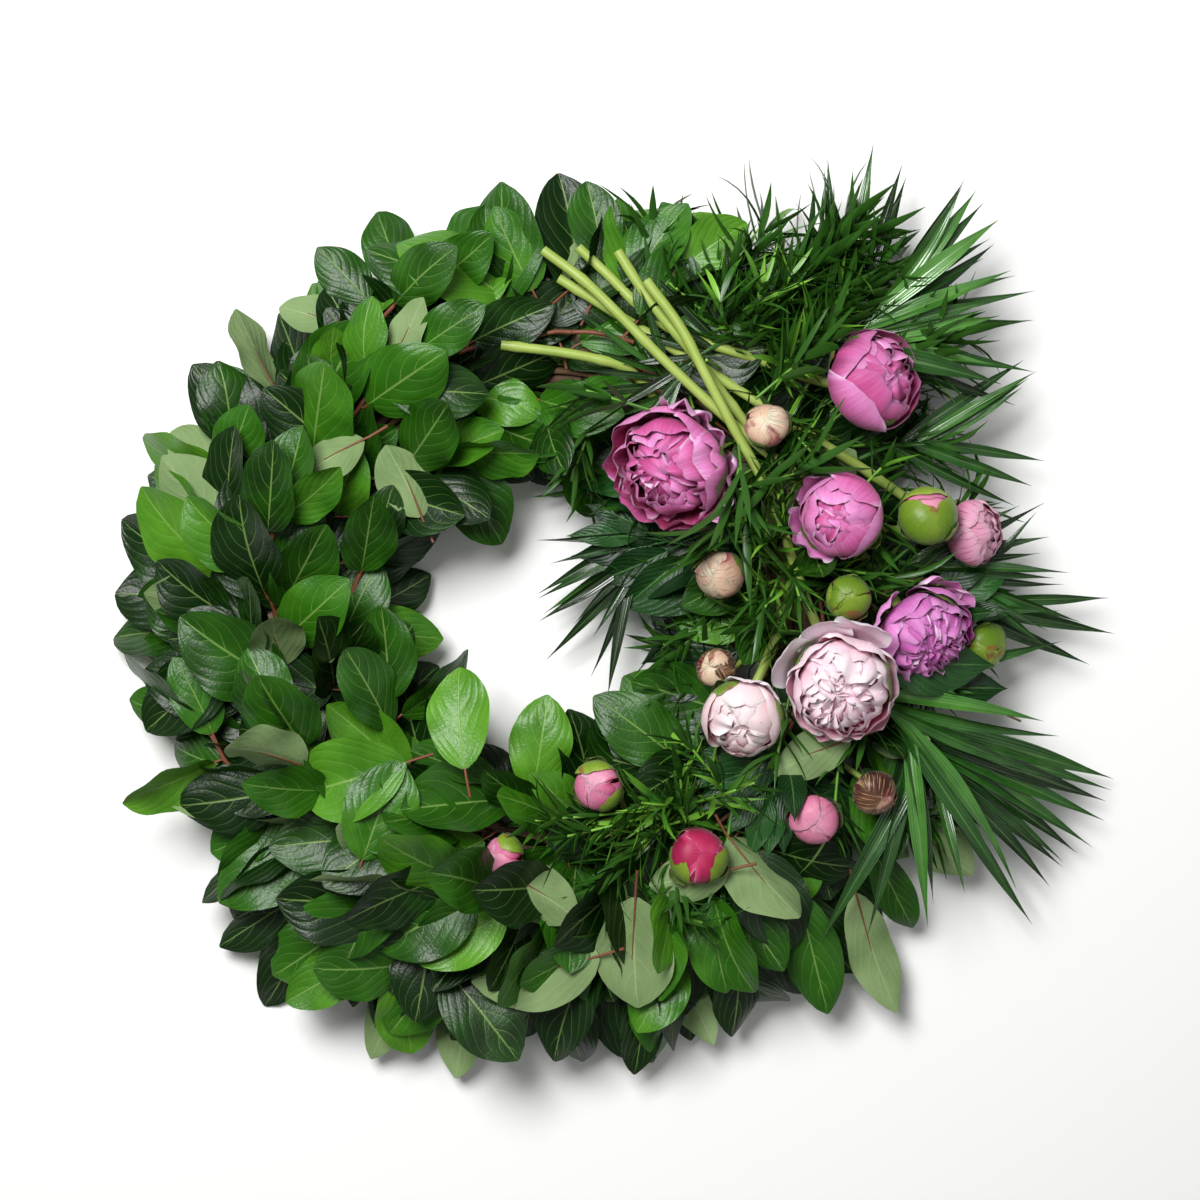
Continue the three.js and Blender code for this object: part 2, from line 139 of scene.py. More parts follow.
def shellPart(upper, lower, tone, material=0):
    # a thin closed leaf: the upper grid, and the lower one turned over and sewn to it along the rim;
    # tone is one value for all leaves or one for each
    count, rows, columns, _ = upper.shape
    index = np.arange(rows * columns).reshape(rows, columns)
    under = index + rows * columns
    under[[0, -1], :] = index[[0, -1], :]
    under[:, [0, -1]] = index[:, [0, -1]]
    quads = np.concatenate([gridQuads(index), gridQuads(under)[:, [0, 3, 2, 1]]])
    below = np.repeat([0.0, 1.0], len(quads) // 2)
    along, across = np.meshgrid(np.linspace(0, 1, rows), np.linspace(0, 1, columns), indexing="ij")
    uv = np.tile(np.stack([along, across], -1).reshape(-1, 2), (2, 1))
    used, quads = np.unique(quads, return_inverse=True)
    quads = quads.reshape(-1, 4)
    points = np.concatenate([upper.reshape(count, -1, 3), lower.reshape(count, -1, 3)], 1)[:, used]
    shift = (np.arange(count) * len(used))[:, None, None]
    return dict(points=points.reshape(-1, 3), quads=(quads + shift).reshape(-1, 4),
                uv=np.tile(uv[used], (count, 1)), underside=np.tile(below, count),
                tone=np.repeat(np.broadcast_to(tone, count), len(quads)), material=material)


def pathFrames(paths):
    # the tangent of each path, and two directions square to it
    tangent = unit(np.gradient(paths, axis=1))
    mean = np.abs(tangent.mean(1))
    lean = np.eye(3)[np.argmin(mean, axis=1)][:, None, :]
    side = unit(np.cross(tangent, np.broadcast_to(lean, tangent.shape)))
    return tangent, side, np.cross(tangent, side)


def tubePart(paths, radii, sides, tone, material=0):
    # a round rod: path + radius (side cos a + up sin a), its two ends closed with quads
    count, rows, _ = paths.shape
    tangent, side, up = pathFrames(paths)
    turn = np.linspace(0, 2 * np.pi, sides, endpoint=False)
    rim = side[:, :, None] * np.cos(turn)[:, None] + up[:, :, None] * np.sin(turn)[:, None]
    points = paths[:, :, None] + rim * np.broadcast_to(radii, (count, rows))[:, :, None, None]
    index = np.arange(rows * sides).reshape(rows, sides)
    walls = gridQuads(np.concatenate([index, index[:, :1]], 1))[:, ::-1]
    half = np.arange(sides // 2 - 1)
    cap = np.stack([half, half + 1, sides - 2 - half, sides - 1 - half], -1)
    quads = np.concatenate([walls[:, ::-1], cap[:, ::-1], cap + (rows - 1) * sides])
    along, across = np.meshgrid(np.linspace(0, 1, rows), np.linspace(0, 1, sides), indexing="ij")
    shift = (np.arange(count) * rows * sides)[:, None, None]
    return dict(points=points.reshape(-1, 3), quads=(quads + shift).reshape(-1, 4),
                uv=np.tile(np.stack([along, across], -1).reshape(-1, 2), (count, 1)),
                underside=np.zeros(count * len(quads)),
                tone=np.repeat(np.broadcast_to(tone, count), len(quads)), material=material)


creaseAngle = np.radians(75)     # sharper edges than this stay sharp


def makePiece(name, parts, materials, stoodFor=()):
    # joins the parts into one mesh, with a UV map and two values per face, tone and underside
    starts = np.cumsum([0] + [len(part["points"]) for part in parts])[:-1]
    points = np.concatenate([part["points"] for part in parts])
    quads = np.concatenate([part["quads"] + start for part, start in zip(parts, starts)])
    uv = np.concatenate([part["uv"] for part in parts])
    mesh = bpy.data.meshes.new(name)
    mesh.vertices.add(len(points))
    mesh.vertices.foreach_set("co", points.astype(np.float32).ravel())
    mesh.loops.add(quads.size)
    mesh.loops.foreach_set("vertex_index", quads.astype(np.int32).ravel())
    mesh.polygons.add(len(quads))
    mesh.polygons.foreach_set("loop_start", np.arange(0, quads.size, 4, dtype=np.int32))
    mesh.update(calc_edges=True)
    mesh.polygons.foreach_set("use_smooth", np.ones(len(quads), bool))
    mesh.polygons.foreach_set("material_index", np.repeat(
        [part["material"] for part in parts], [len(part["quads"]) for part in parts]).astype(np.int32))
    layer = mesh.uv_layers.new(name="alongAcross")
    layer.data.foreach_set("uv", uv[quads.ravel()].astype(np.float32).ravel())
    for key in ("tone", "underside"):
        values = np.concatenate([part[key] for part in parts]).astype(np.float32)
        mesh.attributes.new(key, "FLOAT", "FACE").data.foreach_set("value", values)
    mesh.set_sharp_from_angle(angle=creaseAngle)
    for material in materials:
        mesh.materials.append(material)
    piece = placed(name, mesh)
    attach(piece, "root")
    if stoodFor:
        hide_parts(*stoodFor)
    return piece


# leaves: read from the solid ones, or grown from a base, a heading and a length

def weldedNode(name):
    # a CAD node comes as loose triangles: points that share a place are counted once
    mesh = frame["nodes"][name].data
    places = np.empty(len(mesh.vertices) * 3)
    mesh.vertices.foreach_get("co", places)
    corners = np.empty(len(mesh.loops), np.int64)
    mesh.loops.foreach_get("vertex_index", corners)
    places, index = np.unique(np.round(places.reshape(-1, 3), 6), axis=0, return_inverse=True)
    near = [set() for _ in places]
    for a, b, c in index.ravel()[corners].reshape(-1, 3).tolist():
        near[a] |= {b, c}
        near[b] |= {a, c}
        near[c] |= {a, b}
    return places, near


def solidLeaves(name, rowCount, sharpness=0.6):
    # a solid leaf is a three-sided cone: its tip has three neighbours, and each row behind it is the next three.
    # A cone as blunt as the end of a stem is no leaf
    places, near = weldedNode(name)
    leaves, rest = [], set(range(len(places)))
    for tip, around in enumerate(near):
        rows, seen, row = [], {tip}, around
        while len(row) == 3 and len(rows) < rowCount:
            rows.append(sorted(row))
            seen |= row
            row = set().union(*(near[i] for i in row)) - seen
        corners = places[rows[0]] if rows else places[:1]
        reach = np.linalg.norm(corners.mean(0) - places[tip])
        if len(rows) == rowCount and reach > sharpness * np.ptp(corners, axis=0).max():
            leaves.append([places[[tip] * 3]] + [places[row] for row in rows])
            rest -= seen
    return np.array(leaves).reshape(-1, rowCount + 1, 3, 3), places[sorted(rest)]


def solidRod(name, sides, away):
    # a rod's rings in order, from the end farthest from a point: each ring is the last one's new neighbours
    places, near = weldedNode(name)
    first = np.argmax(np.linalg.norm(places - away, axis=1))
    ring = set(np.argsort(np.linalg.norm(places - places[first], axis=1))[:sides].tolist())
    seen, centres = set(), []
    while len(ring) == sides:
        centres.append(places[sorted(ring)].mean(0))
        seen |= ring
        ring = set().union(*(near[i] for i in ring)) - seen
    return np.array(centres)


def leafFrames(stations, rows, fold):
    # of the three points of a row the two farthest apart are the edges, and the third is the rib underneath
    wide = rows[:, 1:3]
    gaps = np.stack([np.linalg.norm(wide[..., (i + 1) % 3, :] - wide[..., (i + 2) % 3, :], axis=-1)
                     for i in range(3)], -1)
    rib = np.argmax(gaps, axis=-1)
    keel, left, right = [np.take_along_axis(wide, ((rib + step) % 3)[..., None, None], -2)[..., 0, :]
                         for step in range(3)]
    middle = (left + right) / 2
    across = unit(right - left)
    up = middle - keel
    up = unit(up - (up * across).sum(-1, keepdims=True) * across)
    half = np.linalg.norm(right - left, axis=-1, keepdims=True) / 2
    centres = np.concatenate([rows[:, :1, 0], middle - up * half * fold, rows[:, 3:].mean(2)], 1)
    return dict(stations=stations, centres=centres, up=up)


leafStations = [1.0, 0.66, 0.25, 0.0]       # where a leaf has its rows, tip first


def grownFrames(base, heading, up, length, droop):
    # a leaf from its base: base + heading L s - up droop L s^2
    s = np.array(leafStations)[None, :, None]
    heading = unit(heading)[:, None]
    up = unit(up - (up * heading[:, 0]).sum(-1, keepdims=True) * heading[:, 0])[:, None]
    length = np.reshape(length, (-1, 1, 1))
    droop = np.reshape(droop, (-1, 1, 1))
    centres = base[:, None] + heading * length * s - up * droop * length * s ** 2
    tilted = unit(up + heading * 2 * droop * s[:, 1:3])
    return dict(stations=leafStations, centres=centres, up=tilted)


def joinFrames(*sets):
    return dict(sets[0], **{key: np.concatenate([one[key] for one in sets]) for key in ("centres", "up")})


def headings(way, pitch):
    # unit vectors from a compass direction and a pitch, in degrees
    way, pitch = np.radians(way), np.radians(pitch)
    return np.stack([np.cos(way) * np.cos(pitch), np.sin(way) * np.cos(pitch), np.sin(pitch)], -1)


def nearlyUp(random, spread, count):
    # straight up, with a random lean for each leaf
    return random.normal(0, spread, (count, 3)) * [1, 1, 0] + [0, 0, 1]


def betweenFrames(frames, widest, narrowest=2, farthest=0.045):
    # a new leaf halfway between two neighbours, where they start close together and point a little apart
    way = frames["centres"][:, 0] - frames["centres"][:, -1]
    order = np.argsort(np.arctan2(way[:, 1], way[:, 0]))
    one, two = order[:-1], order[1:]
    apart = np.degrees(np.arccos(np.clip((unit(way)[one] * unit(way)[two]).sum(-1), -1, 1)))
    gap = np.linalg.norm(frames["centres"][one, -1] - frames["centres"][two, -1], axis=-1)
    keep = (apart < widest) & (apart > narrowest) & (gap < farthest)
    one, two = one[keep], two[keep]
    return dict(frames, centres=(frames["centres"][one] + frames["centres"][two]) / 2,
                up=unit(frames["up"][one] + frames["up"][two]))


def onFloor(points, low=0.0015):
    # what would dip under the surface is bent flat along it
    high = points[..., 2]
    high = np.where(high < low, low + 0.02 * (high - low), high)
    return np.concatenate([points[..., :2], high[..., None]], -1)


def turned(vectors, axis, angle):
    # Rodrigues' rotation of each leaf's vectors about its own axis
    axis = axis[:, None]
    angle = np.reshape(angle, (-1, 1, 1))
    along = (vectors * axis).sum(-1, keepdims=True) * axis
    square = np.cross(np.broadcast_to(axis, vectors.shape), vectors)
    return along + (vectors - along) * np.cos(angle) + square * np.sin(angle)


def loosened(frames, random, yaw, roll, pitch, over, scale=(0.9, 1.12)):
    # no two leaves lie alike: each is turned about its base and scaled, and a share of them shows its lower side
    count = len(frames["centres"])
    base = frames["centres"][:, -1:]
    along = unit(frames["centres"][:, 0] - base[:, 0])
    up = unit(frames["up"].mean(1))
    rest, lifted = frames["centres"] - base, frames["up"]
    flip = np.where(random.uniform(0, 1, count) < over, np.pi, 0)
    for axis, angle in ((along, random.normal(0, np.radians(roll), count) + flip),
                        (np.cross(up, along), random.normal(0, np.radians(pitch), count)),
                        (up, random.normal(0, np.radians(yaw), count))):
        rest, lifted = turned(rest, axis, angle), turned(lifted, axis, angle)
    return dict(frames, centres=base + rest * random.uniform(*scale, (count, 1, 1)), up=lifted)


def clearOfFlowers(frames):
    # leaves that would grow through a flower head or a bud, or hide the cut ends of the stems, are left out
    fromHeads = frames["centres"][:, :, None] - headPlaces
    fromCuts = frames["centres"][:, :, None] - cutEnds
    inside = np.linalg.norm(fromHeads, axis=-1) < headReach
    above = np.linalg.norm(fromHeads[..., :2], axis=-1) < clearance["above"] * headReach
    above &= fromHeads[..., 2] > 0
    over = np.linalg.norm(fromCuts[..., :2], axis=-1) < clearance["cut"]
    over &= fromCuts[..., 2] > -clearance["below"]
    free = ~(inside.any((1, 2)) | above.any((1, 2)) | over.any((1, 2)))
    return dict(frames, centres=frames["centres"][free], up=frames["up"][free])


def throughPoints(stations, points, places):
    # Lagrange's curve through the points, one for each station
    stations = np.array(stations)
    weights = [np.prod([(places - other) / (own - other) for other in np.delete(stations, i)], axis=0)
               for i, own in enumerate(stations)]
    return np.einsum("sk,nkd->nsd", np.stack(weights, -1), points)


def smoothPath(points, steps):
    # Catmull and Rom's curve: between two knots, a cubic that leaves each one along the line past it
    points = np.asarray(points, float)
    knots = np.concatenate([2 * points[:1] - points[1:2], points, 2 * points[-1:] - points[-2:-1]])
    t = np.linspace(0, len(points) - 1, steps)
    start = np.minimum(t.astype(int), len(points) - 2)
    f = (t - start)[:, None]
    a, b, c, d = (knots[start + i] for i in range(4))
    square, cube = 2 * a - 5 * b + 4 * c - d, 3 * b - a - 3 * c + d
    return 0.5 * (2 * b + (c - a) * f + square * f ** 2 + cube * f ** 3)


def leafBlades(kind, frames, random):
    # blade(u, v) = midrib(u) + side (v h + sway L u^2)
    #             + up (fold |v| h + cupping v^2 h + twist u v h + waves at the rim + curl of the tip),
    # with h = width L sin(pi u^bluntness)^q, where q grows towards the tip and draws it out to a point
    count = len(frames["centres"])
    u = np.linspace(0, 1, kind["rows"])
    v = np.linspace(-1, 1, kind["columns"])
    midrib = throughPoints(frames["stations"], frames["centres"], u)
    length = np.linalg.norm(midrib[:, 0] - midrib[:, -1], axis=-1)[:, None, None]
    blend = smoothStep(u, 0.2, 0.75)[None, :, None]
    up = frames["up"][:, 1:2] * (1 - blend) + frames["up"][:, 0:1] * blend
    along = unit(np.gradient(midrib, axis=1))
    up = unit(up - (up * along).sum(-1, keepdims=True) * along)
    side = np.cross(up, along)
    start, growth = kind["edge"]
    blunt = random.uniform(*kind["bluntness"], (count, 1, 1))
    uu, vv = u[None, :, None], v[None, None, :]
    h = kind["width"] * np.sin(np.pi * np.clip(uu, 0.004, 0.997) ** blunt) ** (start + growth * uu)
    half = length * h * random.uniform(*kind["breadth"], (count, 1, 1))
    phase = random.uniform(0, 2 * np.pi, (count, 1, 1))
    fold = random.uniform(*kind["fold"], (count, 1, 1))
    cup = random.uniform(*kind["cupping"], (count, 1, 1))
    curl = random.uniform(*kind["curl"], (count, 1, 1))
    twist = random.uniform(-1, 1, (count, 1, 1)) * kind["twist"]
    wave = kind["waves"] * np.sin(2 * np.pi * (2.1 * uu + 0.15 * vv) + phase + 1.3 * np.sign(vv)) * vv ** 2
    lift = half * (fold * np.abs(vv) + cup * vv ** 2 + twist * uu * vv)
    lift = lift + length * (wave * np.sin(np.pi * uu) ** 0.5 + curl * (uu - 0.4).clip(0) ** 2)
    sway = length * random.uniform(-1, 1, (count, 1, 1)) * kind["sway"] * uu ** 2
    flat = midrib[:, :, None] + side[:, :, None] * (vv * half + sway)[..., None]
    thick = kind["thickness"] / 2
    upper, lower = (onFloor(flat + up[:, :, None] * (lift + part)[..., None]) for part in (thick, -thick))
    return upper, lower, midrib, up


def leafStalks(kind, midrib, up, stem, tone, material):
    # from the stem to the leaf's base, then along the rib on its underside, thinning to nothing
    start = midrib[:, 0] - unit(midrib[:, 1] - midrib[:, 0]) * kind["petiole"]
    origin = stem[np.argmin(np.linalg.norm(start[:, None] - stem[None], axis=-1), axis=1)]
    rib = midrib[:, [0, 3, 6, 9]] - up[:, [0, 3, 6, 9]] * kind["thickness"]
    neck = start * 0.6 + midrib[:, 0] * 0.4
    path = np.concatenate([origin[:, None], neck[:, None], rib], 1)
    path = onFloor(path, kind["stalk"] + 0.0005)       # so that the round stalk clears the floor too
    radii = np.array([1, 0.85, 0.75, 0.6, 0.4, 0.15]) * kind["stalk"]
    return tubePart(path, radii, 6, tone, material)


def stemThrough(points, bins=14, steps=40):
    # a stem inside its points: gathered by their angle about the ring's centre, and a mean for each step
    angle = np.arctan2(*(points[:, :2] - ringCentre[:2]).T[::-1])
    order = np.argsort(angle)
    gap = np.diff(np.append(angle[order], angle[order[0]] + 2 * np.pi))
    order = np.roll(order, -(np.argmax(gap) + 1))
    return smoothPath([points[group].mean(0) for group in np.array_split(order, bins)], steps)


# flower heads and buds: where they stand, so that leaves keep clear of them

# a round of petals: how many, reach over the flower's half width, polar angles of base and tip from the stalk,
# half width in radians, flare of the tip, ruffle and how many folds it has, and how far the round leans open to
# one side; a round that doesn't go all the way has its arc, in radians
petalColumns = ("count", "reach", "base", "tip", "width", "flare", "ruffle", "folds", "lean")


def petalRow(*values, **more):
    return dict(zip(petalColumns, values), **more)


# metres about the ring's centre, as the solids stand: middle, width, and compass direction and tilt of the axis.
# size shrinks the closed rounds inside the solid head's width, and loose petals are laid over one side of it
peonies = {
    1: dict(at=(0.086, 0.100, 0.084), across=0.086, faces=(215, 22), form="cup", petal="pink", seed=21, size=0.90,
            loose=petalRow(4, 1.16, 50, 108, 0.44, 0.12, 0.07, 2, 0, arc=(-0.5, 1.7))),
    2: dict(at=(0.232, 0.163, 0.084), across=0.070, faces=(15, 30), form="ball", petal="pink", seed=22, size=0.97),
    3: dict(at=(0.206, 0.066, 0.104), across=0.062, faces=(200, 18), form="ball", petal="pink", seed=23, size=0.93,
            loose=petalRow(3, 1.15, 50, 104, 0.48, 0.10, 0.05, 2, 0, arc=(2.8, 4.4))),
    4: dict(at=(0.268, -0.019, 0.076), across=0.068, faces=(310, 30), form="full", petal="lilac", seed=24, size=0.98,
            loose=petalRow(4, 1.16, 40, 100, 0.56, 0.16, 0.06, 2, 0, arc=(0.9, 3.6))),
    5: dict(at=(0.206, -0.055, 0.106), across=0.082, faces=(260, 12), form="full", petal="blush", seed=25, size=0.86,
            loose=petalRow(3, 1.18, 45, 98, 0.50, 0.20, 0.025, 1, 0, arc=(1.5, 2.9))),
    6: dict(at=(0.137, -0.077, 0.094), across=0.058, faces=(240, 22), form="ball", petal="pale", seed=26, size=0.94,
            loose=petalRow(2, 1.12, 50, 116, 0.50, 0.16, 0.04, 1, 0, arc=(0.9, 1.7))),
    7: dict(at=(0.305, 0.055, 0.066), across=0.046, faces=(0, 40), form="ball", petal="striped", seed=27, size=1.0),
}
# the same for the buds, and the foot of the stem, the slot of the material, the looks and the cover of sepals
budColumns = ("at", "across", "faces", "foot", "slot", "petal", "sepal", "cover")
buds = {number: dict(zip(budColumns, row)) for number, row in enumerate([
    ((0.154, 0.130, 0.101), 0.033, (120, 15), (0.174, 0.126, 0.066), "bud_cream", "cream", "sepal", "sepals"),
    ((0.268, 0.066, 0.096), 0.040, (90, 15), (0.236, 0.058, 0.052), "bud_green", "rose", "green", "cap"),
    ((0.121, 0.024, 0.086), 0.037, (250, 20), (0.150, 0.034, 0.052), "bud_cream", "cream", "sepal", "sepals"),
    ((0.212, 0.008, 0.096), 0.031, (180, 10), (0.206, 0.026, 0.064), "bud_green", "green", "green", "cap"),
    ((0.120, -0.042, 0.070), 0.028, (160, 30), (0.148, -0.030, 0.040), "bud_brown", "cream", "brown", "cap"),
    ((0.232, -0.130, 0.084), 0.031, (300, 20), (0.206, -0.108, 0.050), "bud_brown", "cream", "brown", "cap"),
    ((0.189, -0.149, 0.088), 0.037, (260, 15), (0.172, -0.122, 0.050), "bud_pink", "rose", "sepal", "sepals"),
    ((0.106, -0.174, 0.092), 0.042, (80, 20), (0.106, -0.190, 0.050), "bud_magenta", "magenta", "green", "hood"),
    ((0.035, -0.125, 0.088), 0.036, (200, 25), (0.066, -0.170, 0.062), "bud_green", "rose", "green", "hood"),
    ((-0.031, -0.174, 0.092), 0.030, (180, 35), (0.006, -0.180, 0.062), "bud_green", "rose", "green", "hood"),
    ((0.315, -0.026, 0.054), 0.032, (340, 35), (0.246, -0.020, 0.030), "bud_green", "green", "green", "cap"),
], 1)}
# how far leaves keep away: from a head's middle, over its width; above it, over that reach; from a cut end, in
# metres beside it and below it. A stem's cut end is the first few of its steps, where they lie farther up than cutFrom
clearance = dict(head=0.53, above=0.78, cut=0.013, below=0.004, cutFrom=0.13, steps=40, endSteps=16)
headPlaces = np.array([head["at"] for head in (*peonies.values(), *buds.values())]) + ringCentre
headReach = np.array([clearance["head"] * head["across"] for head in (*peonies.values(), *buds.values())])
stemPaths = {number: solidRod(f"peony_stem_{number}", sides=6, away=np.array(peony["at"]) + ringCentre)
             for number, peony in peonies.items()}
cutEnds = np.concatenate([smoothPath(path, clearance["steps"])[:clearance["endSteps"]]
                          for path in stemPaths.values()])
cutEnds = cutEnds[cutEnds[:, 1] > ringCentre[1] + clearance["cutFrom"]]


# leaf materials

def leafInputs(tree):
    # what a leaf or petal shader reads: its UV map, places along and across it and off its rib, each face's tone
    # and whether it lies below, and the place in metres
    uv = addNode(tree, "UVMap", uv_map="alongAcross")
    along, across, _ = addNode(tree, "SeparateXYZ", {0: uv}).node.outputs
    centred = addNode(tree, "Math", {0: across, 1: 0.5}, operation="SUBTRACT")
    off = addNode(tree, "Math", {0: centred}, operation="ABSOLUTE")
    tone, below = (addNode(tree, "Attribute", output="Fac", attribute_name=key) for key in ("tone", "underside"))
    return uv, along, across, off, tone, below, addNode(tree, "TexCoord", output="Object")


# grain per metre of the noise on a leaf, how far it pushes the side veins, and where a dry brown spot sets in
leafGrain = dict(wander=55.0, push=0.09, stagger=0.06, mottle=30.0, spots=22.0, spotFrom=0.765, spotFull=0.78,
                 spot="8c6a4a")


def leafMaterial(name, look):
    # a leaf blade: midrib, side veins that run on towards the tip, and a fine net between them.
    # The veins are sunken on the upper face, where the wax shines, and the lower face is paler and dull
    made, tree = newMaterial(name)
    _, along, across, off, tone, below, place = leafInputs(tree)
    # a side vein starts at u0 on the rib and is at u0 + a off + b off^2 on its way out
    straight, bend = look["veinLean"]
    square = addNode(tree, "Math", {0: off, 1: off}, operation="MULTIPLY")
    wander = addNode(tree, "TexNoise", {"Vector": place, "Scale": leafGrain["wander"], "Detail": 1.0})
    sides = addNode(tree, "Math", {0: across, 1: 0.5}, operation="GREATER_THAN")
    back = along
    for value, share in ((square, -bend), (off, -straight), (wander, leafGrain["push"]),
                         (sides, leafGrain["stagger"])):
        back = addNode(tree, "Math", {0: value, 1: share, 2: back}, operation="MULTIPLY_ADD")
    beat = addNode(tree, "Math", {0: back, 1: look["veins"]}, operation="MULTIPLY")
    vein = addNode(tree, "Math", {0: beat, 1: 0.5}, operation="PINGPONG")
    veinLine = addNode(tree, "MapRange", {"Value": vein, "From Max": 0.045, "To Min": 1.0, "To Max": 0.0})
    ribLine = addNode(tree, "MapRange", {"Value": off, "From Min": 0.004, "From Max": look["ribWidth"],
                                         "To Min": 1.0, "To Max": 0.0})
    fade = addNode(tree, "MapRange", {"Value": off, "From Max": 0.5, "To Min": 0.75, "To Max": 0.25})
    lines = addNode(tree, "Math", {0: veinLine, 1: fade}, operation="MULTIPLY")
    lines = addNode(tree, "Math", {0: lines, 1: ribLine}, operation="MAXIMUM")
    cells = addNode(tree, "TexVoronoi", {"Vector": place, "Scale": 1 / look["netSize"]},
                    feature="DISTANCE_TO_EDGE")
    mottle = addNode(tree, "TexNoise", {"Vector": place, "Scale": leafGrain["mottle"], "Detail": 5.0})
    shade = addNode(tree, "Math", {0: mottle, 1: 0.55, 2: tone}, operation="MULTIPLY_ADD")
    green = colourRamp(tree, shade, [(0.2, look["dark"]), (0.6, look["mid"]), (1.0, look["light"])])
    strength = addNode(tree, "Math", {0: lines, 1: look["veinShow"]}, operation="MULTIPLY")
    top = addNode(tree, "Mix", {0: strength, 6: green, 7: linearColour(look["vein"])},
                  output=2, data_type="RGBA")
    # a few leaves carry a dry brown spot
    spot = addNode(tree, "TexNoise", {"Vector": place, "Scale": leafGrain["spots"], "Detail": 2.0})
    spot = addNode(tree, "MapRange", {"Value": spot, "From Min": leafGrain["spotFrom"],
                                      "From Max": leafGrain["spotFull"]})
    top = addNode(tree, "Mix", {0: spot, 6: top, 7: linearColour(leafGrain["spot"])},
                  output=2, data_type="RGBA")
    pale = addNode(tree, "Mix", {0: mottle, 6: linearColour(look["under"]), 7: linearColour(look["underLight"])},
                   output=2, data_type="RGBA")
    pale = addNode(tree, "Mix", {0: strength, 6: pale, 7: linearColour(look["underVein"])},
                   output=2, data_type="RGBA")
    colour = addNode(tree, "Mix", {0: below, 6: top, 7: pale}, output=2, data_type="RGBA")
    quilt = addNode(tree, "MapRange", {"Value": vein, "From Max": 0.32})
    net = addNode(tree, "MapRange", {"Value": cells, "From Max": 0.22, "To Max": 0.4})
    height = addNode(tree, "Math", {0: quilt, 1: net}, operation="ADD")
    height = addNode(tree, "Math", {0: height, 1: ribLine}, operation="SUBTRACT")
    facing = addNode(tree, "MapRange", {"Value": below, "To Min": 1.0, "To Max": -0.8})
    height = addNode(tree, "Math", {0: height, 1: facing}, operation="MULTIPLY")
    bump = addNode(tree, "Bump", {"Height": height, "Strength": look["bump"], "Distance": 0.0007})
    smear = addNode(tree, "Math", {0: mottle, 1: 0.16, 2: look["gloss"] - 0.08}, operation="MULTIPLY_ADD")
    gloss = addNode(tree, "Math", {0: below, 1: 0.4, 2: smear}, operation="MULTIPLY_ADD")
    finishMaterial(tree, addNode(tree, "BsdfPrincipled", {
        "Base Color": colour, "Roughness": gloss, "Normal": bump, "IOR": 1.45,
        "Specular IOR Level": look["shine"]}))
    return made


def strapMaterial(name, look):
    # a palm or grassy leaf: ribs run side by side from base to tip, with no net between them
    made, tree = newMaterial(name)
    _, along, across, off, tone, below, place = leafInputs(tree)
    beat = addNode(tree, "Math", {0: across, 1: look["ribs"]}, operation="MULTIPLY")
    rib = addNode(tree, "Math", {0: beat, 1: 0.5}, operation="PINGPONG")
    middle = addNode(tree, "MapRange", {"Value": off, "From Max": 0.07, "To Min": 1.0, "To Max": 0.0})
    mottle = addNode(tree, "TexNoise", {"Vector": place, "Scale": 40.0, "Detail": 3.0})
    shade = addNode(tree, "Math", {0: mottle, 1: 0.5, 2: tone}, operation="MULTIPLY_ADD")
    tipped = addNode(tree, "MapRange", {"Value": along, "From Min": 0.2, "To Max": look["tipLight"]})
    shade = addNode(tree, "Math", {0: shade, 1: tipped}, operation="ADD")
    green = colourRamp(tree, shade, [(0.2, look["dark"]), (0.6, look["mid"]), (1.0, look["light"])])
    lines = addNode(tree, "MapRange", {"Value": rib, "From Max": 0.16, "To Min": 0.3, "To Max": 0.0})
    lines = addNode(tree, "Math", {0: lines, 1: middle}, operation="MAXIMUM")
    lines = addNode(tree, "Math", {0: lines, 1: look["veinShow"]}, operation="MULTIPLY")
    top = addNode(tree, "Mix", {0: lines, 6: green, 7: linearColour(look["vein"])}, output=2, data_type="RGBA")
    colour = addNode(tree, "Mix", {0: below, 6: top, 7: linearColour(look["under"])},
                     output=2, data_type="RGBA")
    bump = addNode(tree, "Bump", {"Height": rib, "Strength": look["bump"], "Distance": 0.0006})
    gloss = addNode(tree, "MapRange", {"Value": mottle, "To Min": look["gloss"] - 0.1,
                                       "To Max": look["gloss"] + 0.1})
    finishMaterial(tree, addNode(tree, "BsdfPrincipled", {
        "Base Color": colour, "Roughness": gloss, "Normal": bump, "IOR": 1.45,
        "Specular IOR Level": look["shine"]}))
    return made


